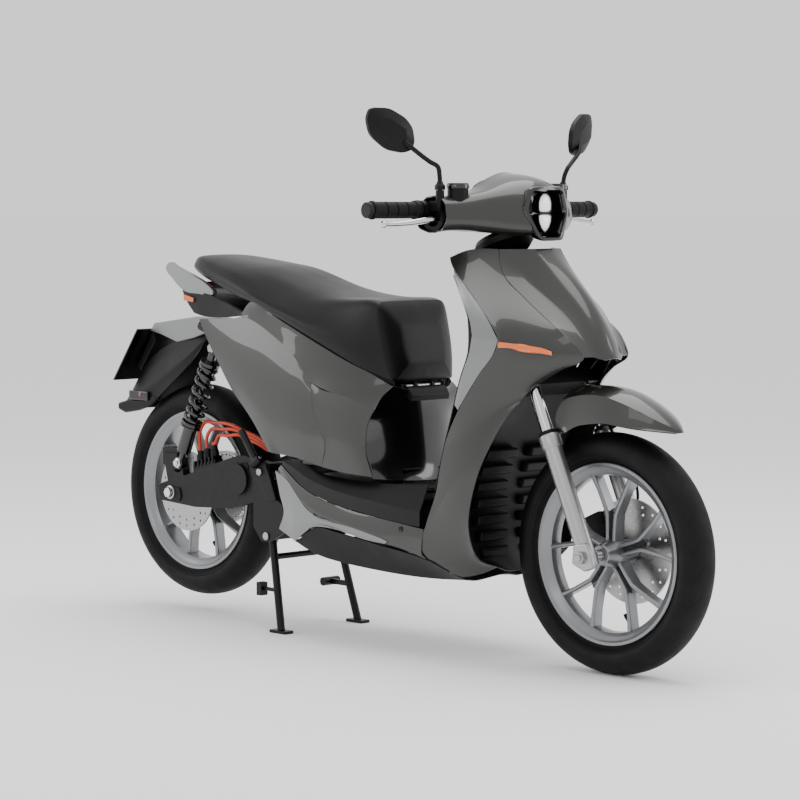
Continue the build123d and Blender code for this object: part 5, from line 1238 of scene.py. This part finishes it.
for side, word in ((-1, "right"), (1, "left")):
    plate(f"axle_slot_{word}", [(-688, 306), (-684, 276), (-612, 272), (-606, 284), (-612, 303)],
          *sideways(side, 110, 113.5), "black_plastic", "swingarm", edge=1.5)
    turned(f"axle_washer_{word}", (-645, side * 113, 290.5), (0, side, 0),
           [(0, 16), (2, 16), (2.6, 15), (2.6, 0)], "steel", "swingarm", sides=40)
    plate(f"rear_axle_nut_{word}", hexagon(-645, 290.5, 12),
          *sideways(side, 115, 124), "chrome", "swingarm", edge=1.2)
turned("arm_plug", (-382, -110, 366), (0, -1, 0), [(0, 13), (1.5, 13), (2, 12), (0.6, 11), (0.6, 0)],
       "black_plastic", "swingarm", sides=40)
for side, word in ((-1, "right"), (1, "left")):
    turned(f"pivot_cap_{word}", (-315, side * 118, 362), (0, side, 0),
           [(0, 14), (3, 14), (4, 12), (4, 9), (10, 9), (11, 8),
                                                                       (11, 0)], "steel", "chassis", sides=6)
    plate(f"peg_mount_{word}", [(-352, 392), (-300, 384), (-284, 352), (-262, 300), (-292, 296),
                                (-316, 330), (-345, 352)],
          *sideways(side, 118, 123), "cast_grey", "chassis", edge=2.0)

# ---------------------------------------------------------------- floor, light and camera
bpy.ops.mesh.primitive_plane_add(size=240)
ground = bpy.context.active_object
ground.name = "studio_floor"
m, tree, shader = finish_of("studio_floor", "fbfbfb", Roughness=0.8)
ground.data.materials.append(m)

world = bpy.context.scene.world or bpy.data.worlds.new("studio")
bpy.context.scene.world = world
world.use_nodes = True
world.node_tree.nodes["Background"].inputs["Color"].default_value = (1, 1, 1, 1)
world.node_tree.nodes["Background"].inputs["Strength"].default_value = 1.15


def softbox(name, place, target, width, height, power):
    data = bpy.data.lights.new(name, "AREA")
    data.shape, data.size, data.size_y, data.energy = "RECTANGLE", width, height, power
    lamp = bpy.data.objects.new(name, data)
    bpy.context.scene.collection.objects.link(lamp)
    lamp.location = place
    lamp.rotation_euler = (Vector(target) - Vector(place)).to_track_quat("-Z", "Y").to_euler()
    return lamp


softbox("overhead", (0.2, 0.3, 3.6), (0, 0, 0.4), 3.6, 2.4, 95)
softbox("rear_side", (-3.4, -2.6, 1.7), (-0.3, 0, 0.5), 1.6, 1.8, 34)
softbox("front_side", (3.0, 2.6, 2.0), (0.5, 0, 0.6), 1.2, 1.8, 24)
softbox("near_side", (1.2, -4.2, 2.6), (0, 0, 0.5), 2.2, 1.2, 14)

camera = bpy.data.objects.new("camera", bpy.data.cameras.new("camera"))
bpy.context.scene.collection.objects.link(camera)
camera.location = (4.472, -4.385, 0.9794)
yaw, pitch = math.radians(45.483), math.radians(4.056)
look = Vector((-math.sin(yaw) * math.cos(pitch), math.cos(yaw) * math.cos(pitch), -math.sin(pitch)))
camera.rotation_euler = look.to_track_quat("-Z", "Y").to_euler()
camera.data.sensor_width, camera.data.lens = 36.0, 127.43
bpy.context.scene.camera = camera
